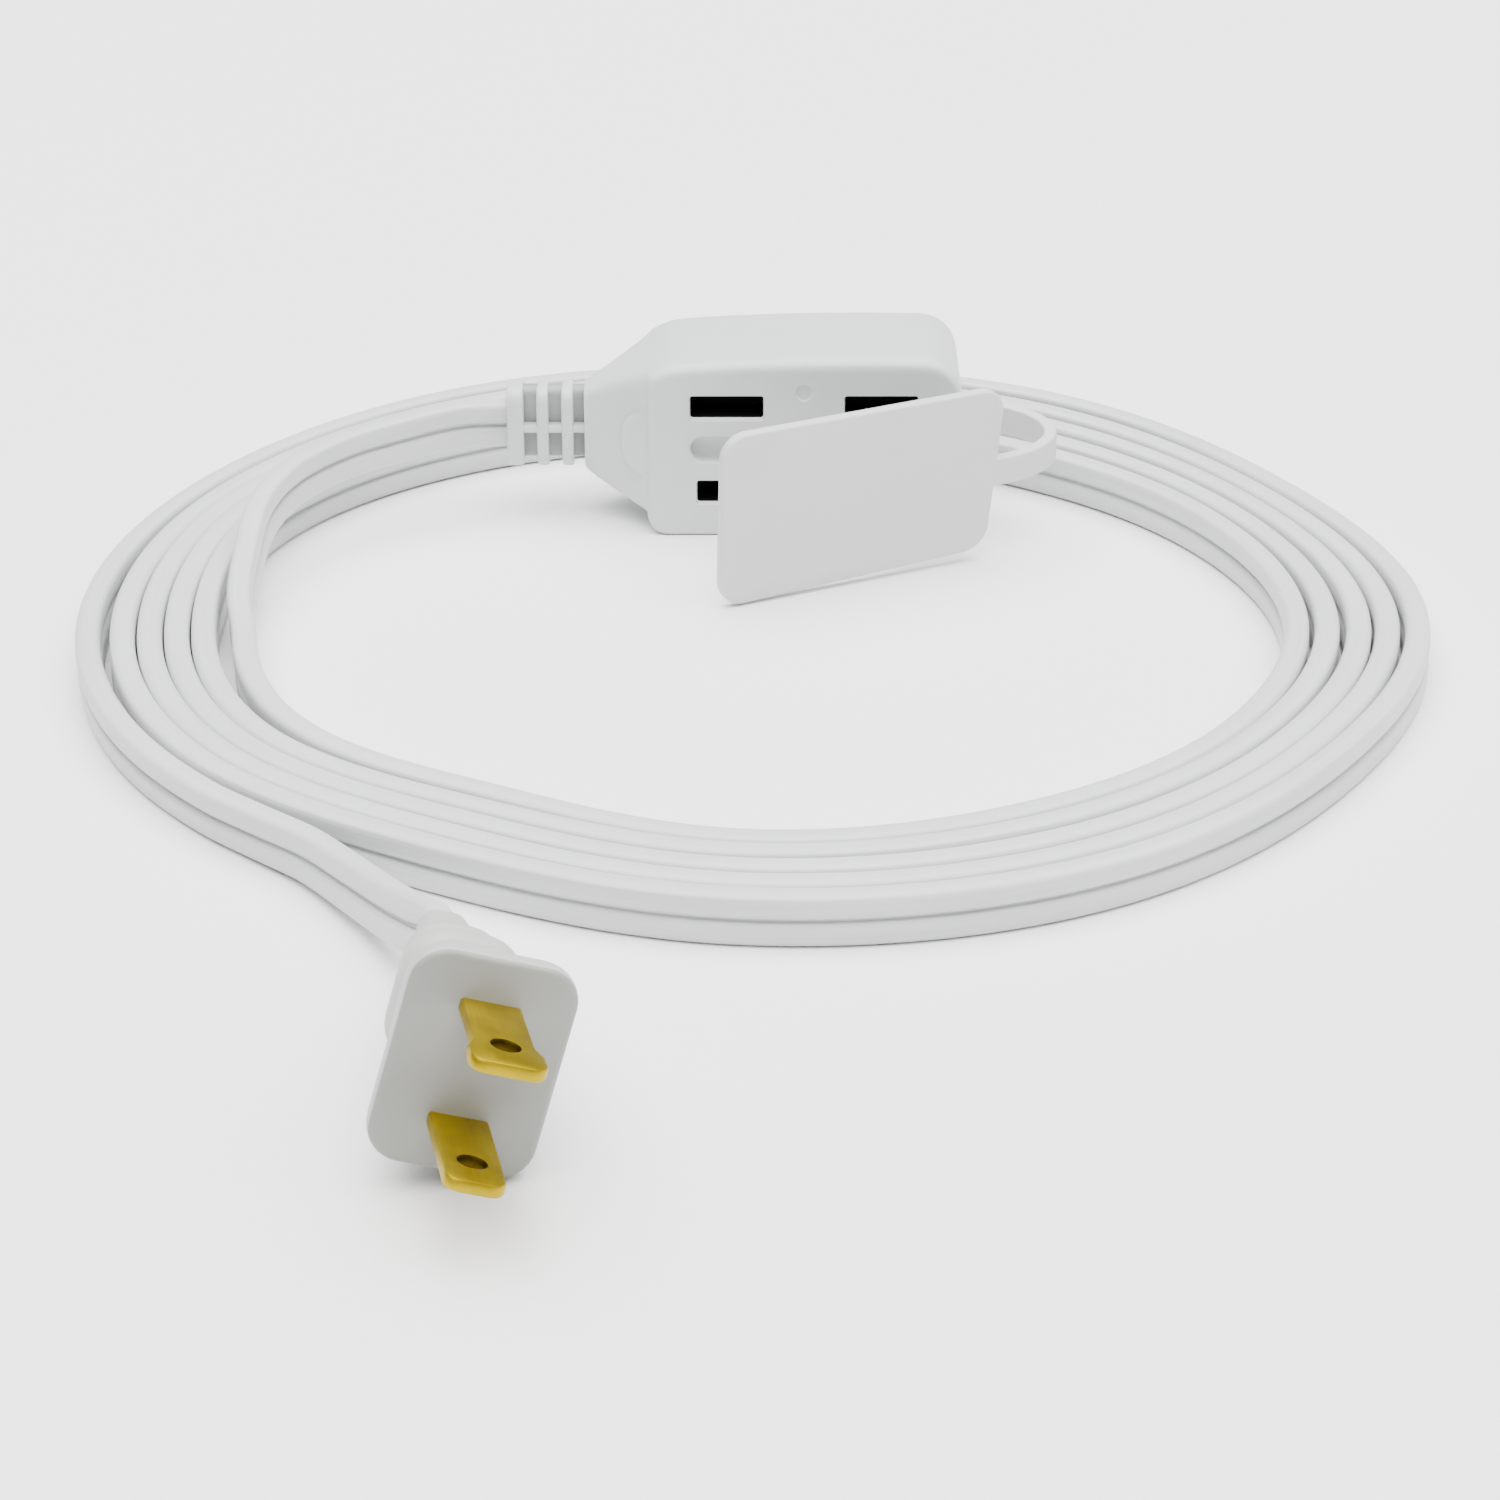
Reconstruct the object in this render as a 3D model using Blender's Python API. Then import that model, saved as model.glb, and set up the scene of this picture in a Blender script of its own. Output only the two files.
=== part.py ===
"""Household extension cord: three-outlet tap with a strapped outlet cover, flat cord wound in a coil, plug.

Metres, +Z up. The tap stands on its long narrow side, and the origin is the centre of that side.
+X runs along the tap away from its cord, -Y is the way its two front outlets face.
"""

import math

import bmesh
import bpy
from mathutils import Matrix, Vector
from mathutils.geometry import interpolate_bezier

# Tap housing
TAP_LENGTH = 0.0442
TAP_DEPTH = 0.0210
TAP_HEIGHT = 0.0260
TAP_CORNER = 0.0030
TAP_EDGE = 0.0012
TAP_WALL = 0.0025
NECK_LENGTH = 0.00895
DOME_REACH = 0.0048
DOME_HALF_HEIGHT = 0.0055

# Outlets: neutral blades go in the upper slots, hot blades in the lower ones
OUTLET_PITCH = 0.0216
BLADE_PITCH = 0.0127
NEUTRAL_SLOT = 0.0102
HOT_SLOT = 0.0084
SLOT_HEIGHT = 0.0032
RECESS_LENGTH = 0.0102
RECESS_HEIGHT = 0.0038
RECESS_DEPTH = 0.0019
MARK_RADIUS = 0.0012
MARK_DEPTH = 0.0002
MARK_DROP = 0.0045

# Contacts inside the tap
BUS_SHEET = 0.0006
BUS_WIDTH = 0.0060
CONTACT_LENGTH = 0.0088
BLADE_GRIP = 0.0019

# Blades
BLADE_WIDTH = 0.00635
BLADE_THICKNESS = 0.0015
BLADE_LENGTH = 0.0159
NEUTRAL_TIP_WIDTH = 0.0079
BLADE_HOLE = 0.0030
BLADE_HOLE_AT = 0.0110

# Strain relief on the tap
RELIEF_LENGTH = 0.0112
RELIEF_HEIGHT = 0.0116
RELIEF_DEPTH = 0.0064
RELIEF_COLLAR = 0.0026
RELIEF_RIB = 0.0019
RELIEF_STEP = 0.0008
RELIEF_WEB = 0.0014
RELIEF_WINDOWS = 3

# Cover and its strap
COVER_LENGTH = 0.0423
COVER_HEIGHT = 0.0240
COVER_THICKNESS = 0.0018
COVER_CORNER = 0.0035
COVER_LIFT = 0.0008
COVER_HINGE = (0.03645, -0.0035)
COVER_REST_DEG = 25.0
BOSS_LENGTH = 0.0084
BOSS_HEIGHT = 0.0030
BOSS_DEPTH = 0.0015
STRAP_HEIGHT = 0.0040
STRAP_THICKNESS = 0.0018
STRAP_REACH = 0.01345

# Flat two-conductor cord, lying on edge
CORD_WIDTH = 0.0066
CORD_THICKNESS = 0.0033
CONDUCTOR_PITCH = 0.0033
WIRE_RADIUS = 0.00115
STRAND_RADIUS = 0.00065
BARREL_RADIUS = 0.00115
PLUG_BARREL_RISE = 0.0040

# Coil: the cord's centre line runs from the inner outline to the outer one, counted from the side away from +X
COIL_CENTRE = (-0.00755, -0.0485)
COIL_TURNS = 5
COIL_START_DEG = 5.0
COIL_END_DEG = 30.0
COIL_INNER = (0.0700, 0.0685, 0.0655, 0.0665, 0.0700, 0.0715, 0.0666, 0.0657, 0.0605, 0.0635, 0.0650, 0.0681)
COIL_OUTER = (0.0891, 0.0871, 0.0894, 0.0880, 0.0895, 0.0883, 0.0869, 0.0837, 0.0780, 0.0801, 0.0827, 0.0841)

# Route of the cord from the tap down to the coil, and from the coil to the plug
TAP_LEAD = (
    (-0.04855, -0.0008, 0.0130),
    (-0.05685, -0.0048, 0.0122),
    (-0.06405, -0.0098, 0.0114),
    (-0.06985, -0.0168, 0.0100),
    (-0.07305, -0.0258, 0.0080),
    (-0.07435, -0.0365, 0.0056),
    (-0.07455, -0.0460, 0.0039),
)
PLUG_LEAD = (
    (-0.07255, -0.1000, 0.0034),
    (-0.06575, -0.1063, 0.0035),
    (-0.05935, -0.1122, 0.0037),
    (-0.05355, -0.1200, 0.0042),
    (-0.0484, -0.1281, 0.0053),
    (-0.0448, -0.1344, 0.0069),
)

# Plug: sections along its axis from the face to the cord, as (distance, half width, half height, corner)
PLUG_FACE = (-0.0355, -0.1750, 0.01345)
PLUG_YAW_DEG = 11.0
PLUG_PITCH_DEG = 8.0
PLUG_ROLL_DEG = 18.0
PLUG_SECTIONS = (
    (0.0000, 0.0081, 0.0111, 0.0034),
    (0.0002, 0.0086, 0.0116, 0.0038),
    (0.0008, 0.0089, 0.0119, 0.0040),
    (0.0024, 0.0088, 0.0118, 0.0042),
    (0.0065, 0.0079, 0.0102, 0.0045),
    (0.0110, 0.0070, 0.0088, 0.0048),
    (0.0150, 0.0063, 0.0077, 0.0046),
)
GRIP_SECTIONS = (
    (0.0153, 0.0061, 0.0073, 0.0044),
    (0.0175, 0.0066, 0.0078, 0.0048),
    (0.0198, 0.0061, 0.0072, 0.0046),
    (0.0214, 0.0051, 0.0061, 0.0040),
    (0.0236, 0.0054, 0.0064, 0.0042),
    (0.0258, 0.0046, 0.0056, 0.0038),
    (0.0292, 0.0036, 0.0048, 0.0030),
    (0.0330, 0.0028, 0.0043, 0.0020),
)
BRIDGE_HALF_WIDTH = 0.0050
BRIDGE_FRONT = 0.0030
BRIDGE_LENGTH = 0.0065

GAP = 0.0003
POINTS_PER_CORNER = 4

# Values that follow from the sizes above
MID_Z = TAP_HEIGHT / 2
NEUTRAL_Z = MID_Z + BLADE_PITCH / 2
HOT_Z = MID_Z - BLADE_PITCH / 2
NECK_X = -TAP_LENGTH / 2 - NECK_LENGTH
RELIEF_INNER_X = NECK_X - GAP
RELIEF_OUTER_X = RELIEF_INNER_X - RELIEF_LENGTH
FRONT_OUTLETS = (-OUTLET_PITCH / 2, OUTLET_PITCH / 2)
REAR_OUTLET = 0.0
FAR_REACH = BLADE_LENGTH - TAP_DEPTH / 2 + 0.0007
BARREL_X = -TAP_LENGTH / 2 + 0.0030
BARREL_LENGTH = 0.0046
BARREL_RISE = 0.0042
CHAMBER_WALL = 0.0028
CORD_Z = CORD_WIDTH / 2


def clear_scene():
    for obj in list(bpy.data.objects):
        bpy.data.objects.remove(obj, do_unlink=True)


def make_material(name, colour, roughness, metallic=0.0):
    material = bpy.data.materials.new(name)
    material.use_nodes = True
    shader = material.node_tree.nodes["Principled BSDF"]
    shader.inputs["Base Color"].default_value = (*colour, 1.0)
    shader.inputs["Roughness"].default_value = roughness
    shader.inputs["Metallic"].default_value = metallic
    material.diffuse_color = (*colour, 1.0)
    return material


def add_object(name, bm, material, parent=None):
    """A closed bmesh becomes an object whose faces point out."""
    bmesh.ops.recalc_face_normals(bm, faces=bm.faces)
    mesh = bpy.data.meshes.new(name)
    bm.to_mesh(mesh)
    bm.free()
    mesh.materials.append(material)
    mesh.shade_smooth()
    mesh.set_sharp_from_angle(angle=math.radians(35))
    obj = bpy.data.objects.new(name, mesh)
    obj.parent = parent
    bpy.context.scene.collection.objects.link(obj)
    return obj


def add_boolean(obj, tool, operation):
    tool.hide_render = True
    tool.display_type = "WIRE"
    modifier = obj.modifiers.new(tool.name, "BOOLEAN")
    modifier.operation = operation
    modifier.solver = "EXACT"
    modifier.object = tool


def cut(obj, tool):
    add_boolean(obj, tool, "DIFFERENCE")


def unite(obj, tool):
    add_boolean(obj, tool, "UNION")


def loft_bmesh(rings):
    """A closed solid through rings of points, each ring with the same number of them."""
    bm = bmesh.new()
    made = [[bm.verts.new(point) for point in ring] for ring in rings]
    for first, second in zip(made, made[1:]):
        for i in range(len(first)):
            j = (i + 1) % len(first)
            bm.faces.new((first[i], first[j], second[j], second[i]))
    bm.faces.new(made[0])
    bm.faces.new(reversed(made[-1]))
    return bm


def box_bmesh(low, high):
    corners = [(low[0], low[1]), (high[0], low[1]), (high[0], high[1]), (low[0], high[1])]
    return loft_bmesh([[(x, y, z) for x, y in corners] for z in (low[2], high[2])])


def add_box(name, low, high, material, parent=None):
    return add_object(name, box_bmesh(low, high), material, parent)


def rounded_rectangle(half_a, half_b, radius, count=POINTS_PER_CORNER):
    """Points of a rectangle with round corners, anticlockwise."""
    radius = min(radius, half_a * 0.98, half_b * 0.98)
    points = []
    for quarter, (sign_a, sign_b) in enumerate(((1, 1), (-1, 1), (-1, -1), (1, -1))):
        for step in range(count):
            angle = math.radians(90 * quarter + 90 * step / (count - 1))
            a = sign_a * (half_a - radius) + radius * math.cos(angle)
            b = sign_b * (half_b - radius) + radius * math.sin(angle)
            points.append((a, b))
    return points


def add_cylinder(name, start, end, radius, material, parent=None, sides=16):
    start, end = Vector(start), Vector(end)
    turn = (end - start).to_track_quat("Z", "Y")
    rings = []
    for centre in (start, end):
        ring = []
        for i in range(sides):
            angle = 2 * math.pi * i / sides
            offset = Vector((radius * math.cos(angle), radius * math.sin(angle), 0))
            ring.append(centre + turn @ offset)
        rings.append(ring)
    return add_object(name, loft_bmesh(rings), material, parent)


def stadium_prism(name, centre, length, height, y_low, y_high, material, parent=None):
    """A slot with round ends, long in X, cut or raised along Y."""
    outline = rounded_rectangle(length / 2, height / 2, height / 2, 6)
    rings = [[(centre[0] + a, y, centre[1] + b) for a, b in outline] for y in (y_low, y_high)]
    return add_object(name, loft_bmesh(rings), material, parent)


def smooth_route(points, per_span):
    """Points read from a smooth curve through the given ones."""
    points = [Vector(point) for point in points]
    tangents = []
    for i, point in enumerate(points):
        before = points[max(i - 1, 0)]
        after = points[min(i + 1, len(points) - 1)]
        tangents.append((after - before).normalized())
    route = []
    for i in range(len(points) - 1):
        reach = (points[i + 1] - points[i]).length / 3
        handle_a = points[i] + tangents[i] * reach
        handle_b = points[i + 1] - tangents[i + 1] * reach
        span = interpolate_bezier(points[i], handle_a, handle_b, points[i + 1], per_span + 1)
        route.extend(span if i == len(points) - 2 else span[:-1])
    return route


def add_tube(name, route, radius, material, parent=None, half_flat=0.0, tilts=None, resolution=2):
    """A curve with a round section, or a flat one with round edges if half_flat is given."""
    curve = bpy.data.curves.new(name, "CURVE")
    curve.dimensions = "3D"
    curve.twist_mode = "Z_UP"
    curve.bevel_depth = radius
    curve.bevel_resolution = resolution
    curve.extrude = half_flat
    curve.use_fill_caps = True
    spline = curve.splines.new("POLY")
    spline.points.add(len(route) - 1)
    for i, point in enumerate(route):
        spline.points[i].co = (*point, 1.0)
        spline.points[i].tilt = tilts[i] if tilts else 0.0
    curve.materials.append(material)
    obj = bpy.data.objects.new(name, curve)
    obj.parent = parent
    bpy.context.scene.collection.objects.link(obj)
    return obj


def tap_ring(x, half_depth, half_height, radius):
    return [(x, a, MID_Z + b) for a, b in rounded_rectangle(half_depth, half_height, radius)]


def tap_rings():
    """Sections of the housing from its far end, along the block and down the neck."""
    half_depth, half_height = TAP_DEPTH / 2, TAP_HEIGHT / 2
    rings = []
    for step in range(5):
        angle = math.radians(90 * step / 4)
        x = TAP_LENGTH / 2 - TAP_CORNER * (1 - math.cos(angle))
        inset = TAP_CORNER * (1 - math.sin(angle))
        depth_inset = TAP_EDGE * (1 - math.sin(angle))
        rings.append(tap_ring(x, half_depth - depth_inset, half_height - inset, TAP_EDGE))
    for step in range(4):
        angle = math.radians(90 * step / 4)
        x = -TAP_LENGTH / 2 + TAP_CORNER * (1 - math.sin(angle))
        inset = TAP_CORNER * (1 - math.cos(angle))
        depth_inset = TAP_EDGE * (1 - math.cos(angle))
        rings.append(tap_ring(x, half_depth - depth_inset, half_height - inset, TAP_EDGE))
    root_height = half_height - TAP_CORNER
    root_depth = half_depth - TAP_EDGE
    for step in range(1, 6):
        share = step / 5
        x = -TAP_LENGTH / 2 - NECK_LENGTH * share
        height = root_height + (RELIEF_HEIGHT / 2 - root_height) * share**1.3
        depth = root_depth + (RELIEF_DEPTH / 2 - root_depth) * share**1.3
        rings.append(tap_ring(x, depth, height, TAP_EDGE + (0.0016 - TAP_EDGE) * share))
    return rings


def slot_boxes(front_side, y_low, y_high, height):
    """Low and high corners of every blade way that opens on one side of the tap."""
    outlets = FRONT_OUTLETS if front_side else (REAR_OUTLET,)
    boxes = []
    for x in outlets:
        for z, length in ((NEUTRAL_Z, NEUTRAL_SLOT), (HOT_Z, HOT_SLOT)):
            low = (x - length / 2, y_low, z - height / 2)
            high = (x + length / 2, y_high, z + height / 2)
            boxes.append((low, high))
    return boxes


def add_tap_body(material):
    body = add_object("tap_body", loft_bmesh(tap_rings()), material)
    dome = bmesh.new()
    bmesh.ops.create_uvsphere(dome, u_segments=16, v_segments=10, radius=1.0)
    scale = Matrix.Diagonal((DOME_REACH, TAP_DEPTH / 2 - TAP_EDGE, DOME_HALF_HEIGHT, 1.0))
    bmesh.ops.transform(dome, matrix=scale, verts=dome.verts)
    bmesh.ops.translate(dome, vec=(-TAP_LENGTH / 2, 0, MID_Z), verts=dome.verts)
    unite(body, add_object("neck_dome", dome, material))

    inner_x = TAP_LENGTH / 2 - TAP_WALL
    inner_y = TAP_DEPTH / 2 - TAP_WALL
    hollow_low = (-inner_x + 0.0010, -inner_y, TAP_WALL)
    hollow_high = (inner_x, inner_y, TAP_HEIGHT - TAP_WALL)
    cut(body, add_box("tap_hollow", hollow_low, hollow_high, material))
    chamber_x = NECK_X + CHAMBER_WALL
    chamber_z = BARREL_RISE + BARREL_RADIUS + 0.0008
    chamber_low = (chamber_x, -0.0026, MID_Z - chamber_z)
    chamber_high = (-inner_x + 0.0020, 0.0026, MID_Z + chamber_z)
    cut(body, add_box("wiring_chamber", chamber_low, chamber_high, material))
    way_z = CONDUCTOR_PITCH / 2 + WIRE_RADIUS + GAP
    way_low = (NECK_X - 0.0010, -WIRE_RADIUS - GAP, MID_Z - way_z)
    way_high = (chamber_x + 0.0010, WIRE_RADIUS + GAP, MID_Z + way_z)
    cut(body, add_box("neck_way", way_low, way_high, material))

    outer = TAP_DEPTH / 2 + 0.0010
    for side, y_low, y_high in ((True, -outer, -inner_y + 0.0005), (False, inner_y - 0.0005, outer)):
        for i, (low, high) in enumerate(slot_boxes(side, y_low, y_high, SLOT_HEIGHT)):
            cut(body, add_box(f"{'front' if side else 'rear'}_slot_{i}", low, high, material))
    for i, x in enumerate(FRONT_OUTLETS):
        recess_end = -TAP_DEPTH / 2 + RECESS_DEPTH
        tool = stadium_prism(
            f"cover_recess_{i}", (x, MID_Z), RECESS_LENGTH, RECESS_HEIGHT, -outer, recess_end, material
        )
        cut(body, tool)
    mark_z = TAP_HEIGHT - MARK_DROP
    mark_end = -TAP_DEPTH / 2 + MARK_DEPTH
    mark = add_cylinder("face_mark", (0, -outer, mark_z), (0, mark_end, mark_z), MARK_RADIUS, material)
    cut(body, mark)


def add_carrier(name, front, material):
    """Half of the rigid block that holds the two contact strips, split at the tap's middle plane."""
    sign = -1 if front else 1
    reach_x = TAP_LENGTH / 2 - TAP_WALL - GAP
    reach_y = TAP_DEPTH / 2 - TAP_WALL - GAP
    y_ends = sorted((sign * reach_y, sign * GAP / 2))
    low = (-reach_x + 0.0024, y_ends[0], TAP_WALL + GAP)
    high = (reach_x, y_ends[1], TAP_HEIGHT - TAP_WALL - GAP)
    carrier = add_box(name, low, high, material)
    pocket_y = sorted((sign * (BUS_WIDTH / 2 + GAP), -sign * 0.0010))
    half_pocket = BLADE_GRIP / 2 + BUS_SHEET + GAP
    for label, z in (("neutral", NEUTRAL_Z), ("hot", HOT_Z)):
        pocket_low = (-reach_x, pocket_y[0], z - half_pocket)
        pocket_high = (reach_x - 0.0012, pocket_y[1], z + half_pocket)
        cut(carrier, add_box(f"{name}_{label}_pocket", pocket_low, pocket_high, material))
    own_y = sorted((sign * (reach_y + 0.0010), -sign * 0.0010))
    far_y = sorted((sign * FAR_REACH, -sign * 0.0010))
    for side, ends in ((front, own_y), (not front, far_y)):
        for i, (way_low, way_high) in enumerate(slot_boxes(side, ends[0], ends[1], SLOT_HEIGHT - 0.0006)):
            cut(carrier, add_box(f"{name}_way_{int(side)}_{i}", way_low, way_high, material))


def add_bus(name, slot_z, up, material):
    """A contact strip: a spine beside all three outlets, with a folded leaf pair at each of them."""
    half = BUS_WIDTH / 2
    inner = BLADE_GRIP / 2
    outer = inner + BUS_SHEET
    leaf_half = CONTACT_LENGTH / 2
    last_x = FRONT_OUTLETS[1] + leaf_half + BUS_SHEET
    first_x = -TAP_LENGTH / 2 + TAP_WALL + 0.0012
    spine_z = sorted((slot_z + up * inner, slot_z + up * outer))
    bus = add_box(name, (first_x, -half, spine_z[0]), (last_x, half, spine_z[1]), material)
    for i, x in enumerate((*FRONT_OUTLETS, REAR_OUTLET)):
        leaf_z = sorted((slot_z - up * inner, slot_z - up * outer))
        wall_x = x + leaf_half
        leaf = add_box(
            f"{name}_leaf_{i}", (x - leaf_half, -half, leaf_z[0]), (wall_x + BUS_SHEET, half, leaf_z[1]), material
        )
        unite(bus, leaf)
        wall_low = (wall_x, -half, slot_z - inner - 0.0002)
        wall_high = (wall_x + BUS_SHEET, half, slot_z + inner + 0.0002)
        unite(bus, add_box(f"{name}_fold_{i}", wall_low, wall_high, material))
    barrel_z = MID_Z + up * BARREL_RISE
    tab_z = sorted((barrel_z, slot_z + up * outer))
    tab = add_box(f"{name}_tab", (first_x, -0.0012, tab_z[0]), (first_x + BUS_SHEET, 0.0012, tab_z[1]), material)
    unite(bus, tab)
    start = (first_x + BUS_SHEET / 2, 0, barrel_z)
    end = (BARREL_X - BARREL_LENGTH, 0, barrel_z)
    unite(bus, add_cylinder(f"{name}_barrel", start, end, BARREL_RADIUS, material, sides=12))
    bore_start = (first_x - 0.0008, 0, barrel_z)
    bore_end = (BARREL_X - BARREL_LENGTH - 0.0010, 0, barrel_z)
    cut(bus, add_cylinder(f"{name}_bore", bore_start, bore_end, STRAND_RADIUS + 0.00015, material, sides=12))


def add_tap_wires(insulation, copper):
    """Each conductor from the cord's end, through the strain relief and the neck, to its crimp barrel."""
    for label, up in (("neutral", 1), ("hot", -1)):
        cord_z = MID_Z + up * CONDUCTOR_PITCH / 2
        barrel_z = MID_Z + up * BARREL_RISE
        barrel_end = BARREL_X - BARREL_LENGTH
        points = (
            (RELIEF_OUTER_X + GAP, 0, cord_z),
            (NECK_X, 0, cord_z),
            (NECK_X + CHAMBER_WALL + GAP, 0, cord_z),
            (NECK_X + CHAMBER_WALL + 0.0012, 0, cord_z + up * 0.0004),
            (barrel_end - 0.0010, 0, barrel_z - up * 0.0001),
            (barrel_end - GAP, 0, barrel_z),
        )
        add_tube(f"tap_{label}_wire", smooth_route(points, 4), WIRE_RADIUS, insulation)
        start = (barrel_end, 0, barrel_z)
        end = (barrel_end + BARREL_LENGTH - 0.0012, 0, barrel_z)
        add_cylinder(f"tap_{label}_strands", start, end, STRAND_RADIUS, copper, sides=10)


def add_tap_relief(material):
    """Flexible sleeve: a core with a collar, ribs and four lengthwise webs that leave rows of windows."""

    def sleeve(name, x_low, x_high, half_depth, half_height, radius):
        outline = rounded_rectangle(half_depth, half_height, radius)
        rings = [[(x, a, MID_Z + b) for a, b in outline] for x in (x_low, x_high)]
        return add_object(name, loft_bmesh(rings), material)

    half_depth, half_height = RELIEF_DEPTH / 2, RELIEF_HEIGHT / 2
    relief = sleeve(
        "tap_strain_relief",
        RELIEF_OUTER_X + 0.0004,
        RELIEF_INNER_X,
        half_depth - RELIEF_STEP,
        half_height - RELIEF_STEP,
        0.0014,
    )
    collar_end = RELIEF_OUTER_X + RELIEF_COLLAR
    unite(relief, sleeve("relief_collar", RELIEF_OUTER_X, collar_end, half_depth, half_height, 0.0020))
    window = (RELIEF_LENGTH - RELIEF_COLLAR - RELIEF_RIB * (RELIEF_WINDOWS - 1)) / RELIEF_WINDOWS
    for i in range(RELIEF_WINDOWS - 1):
        rib_x = collar_end + window + i * (window + RELIEF_RIB)
        unite(relief, sleeve(f"relief_rib_{i}", rib_x, rib_x + RELIEF_RIB, half_depth, half_height, 0.0020))
    low_x, high_x = RELIEF_OUTER_X + 0.0006, RELIEF_INNER_X - 0.0001
    side_inset, top_inset = 0.0003, 0.0003
    side_low = (low_x, -half_depth + side_inset, MID_Z - RELIEF_WEB / 2)
    side_high = (high_x, half_depth - side_inset, MID_Z + RELIEF_WEB / 2)
    unite(relief, add_box("relief_side_webs", side_low, side_high, material))
    top_low = (low_x, -RELIEF_WEB, MID_Z - half_height + top_inset)
    top_high = (high_x, RELIEF_WEB, MID_Z + half_height - top_inset)
    unite(relief, add_box("relief_edge_webs", top_low, top_high, material))
    way_z = CONDUCTOR_PITCH / 2 + WIRE_RADIUS + GAP
    way_low = (RELIEF_OUTER_X - 0.0010, -WIRE_RADIUS - GAP, MID_Z - way_z)
    way_high = (RELIEF_INNER_X + 0.0010, WIRE_RADIUS + GAP, MID_Z + way_z)
    cut(relief, add_box("relief_way", way_low, way_high, material))


def add_cover(material):
    """The plate lies over both front outlets when shut; its parent empty is the hinge axis, turned to rest."""
    hinge = bpy.data.objects.new("cover_hinge", None)
    hinge.location = (COVER_HINGE[0], COVER_HINGE[1], 0)
    hinge.rotation_euler = (0, 0, math.radians(COVER_REST_DEG))
    bpy.context.scene.collection.objects.link(hinge)
    face_y = -TAP_DEPTH / 2 - GAP - COVER_HINGE[1]
    centre = (-COVER_HINGE[0], COVER_LIFT + COVER_HEIGHT / 2)
    outline = rounded_rectangle(COVER_LENGTH / 2, COVER_HEIGHT / 2, COVER_CORNER, 6)
    edge = COVER_THICKNESS * 0.25
    rings = []
    for y, inset in ((0, edge), (edge, 0), (COVER_THICKNESS - edge, 0), (COVER_THICKNESS, edge)):
        ring = []
        for a, b in outline:
            scale_a = 1 - inset / (COVER_LENGTH / 2)
            scale_b = 1 - inset / (COVER_HEIGHT / 2)
            ring.append((centre[0] + a * scale_a, face_y - y, centre[1] + b * scale_b))
        rings.append(ring)
    cover = add_object("cover_plate", loft_bmesh(rings), material, hinge)
    for i, x in enumerate(FRONT_OUTLETS):
        boss_centre = (x - COVER_HINGE[0], MID_Z)
        y_ends = (face_y - COVER_THICKNESS / 2, face_y + BOSS_DEPTH)
        boss = stadium_prism(
            f"cover_boss_{i}", boss_centre, BOSS_LENGTH, BOSS_HEIGHT, y_ends[0], y_ends[1], material, hinge
        )
        unite(cover, boss)
    return hinge


def add_strap(material):
    """A ribbon in a U from the tap's far end round to the cover's near edge."""
    turn = math.radians(COVER_REST_DEG)
    near = Vector((COVER_LENGTH / 2 - COVER_HINGE[0], -TAP_DEPTH / 2 - GAP - COVER_THICKNESS / 2 - COVER_HINGE[1]))
    near.rotate(Matrix.Rotation(turn, 2))
    near += Vector(COVER_HINGE)
    along = Vector((math.cos(turn), math.sin(turn)))
    plate_end = near + along * GAP
    tap_end = Vector((TAP_LENGTH / 2 + GAP, 0.0005))
    apex_x = TAP_LENGTH / 2 + STRAP_REACH - STRAP_THICKNESS / 2
    middle_y = (plate_end.y + tap_end.y) / 2
    points = (
        plate_end,
        plate_end + along * 0.0035,
        Vector((apex_x - 0.0016, middle_y - 0.0042)),
        Vector((apex_x, middle_y)),
        Vector((apex_x - 0.0018, middle_y + 0.0048)),
        tap_end + Vector((0.0048, -0.0002)),
        tap_end,
    )
    route = smooth_route([(p.x, p.y, 0) for p in points], 5)
    z_low = COVER_LIFT + COVER_HEIGHT / 2 - STRAP_HEIGHT / 2
    rings = []
    for i, point in enumerate(route):
        tangent = route[min(i + 1, len(route) - 1)] - route[max(i - 1, 0)]
        side = Vector((-tangent.y, tangent.x, 0)).normalized() * STRAP_THICKNESS / 2
        low = Vector((0, 0, z_low))
        high = Vector((0, 0, z_low + STRAP_HEIGHT))
        rings.append([point - side + low, point + side + low, point + side + high, point - side + high])
    add_object("cover_strap", loft_bmesh(rings), material)


def outline_radius(radii, angle):
    """The radius at an angle, on a smooth closed curve through radii at even steps."""
    place = (angle / (2 * math.pi) * len(radii)) % len(radii)
    i = int(place)
    share = place - i
    before, first, second, after = (radii[(i + k) % len(radii)] for k in (-1, 0, 1, 2))
    slope_a = (second - before) / 2
    slope_b = (after - first) / 2
    square, cube = share**2, share**3
    start_part = first * (2 * cube - 3 * square + 1) + slope_a * (cube - 2 * square + share)
    end_part = second * (3 * square - 2 * cube) + slope_b * (cube - square)
    return start_part + end_part


def coil_point(turns, offset=0.0):
    """The cord's centre in plan after so many turns, moved outwards by an offset."""
    angle = math.pi + 2 * math.pi * turns
    inner = outline_radius(COIL_INNER, angle)
    outer = outline_radius(COIL_OUTER, angle)
    radius = inner + (outer - inner) * turns / COIL_TURNS + offset
    return Vector((COIL_CENTRE[0] + radius * math.cos(angle), COIL_CENTRE[1] + radius * math.sin(angle), 0))


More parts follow.
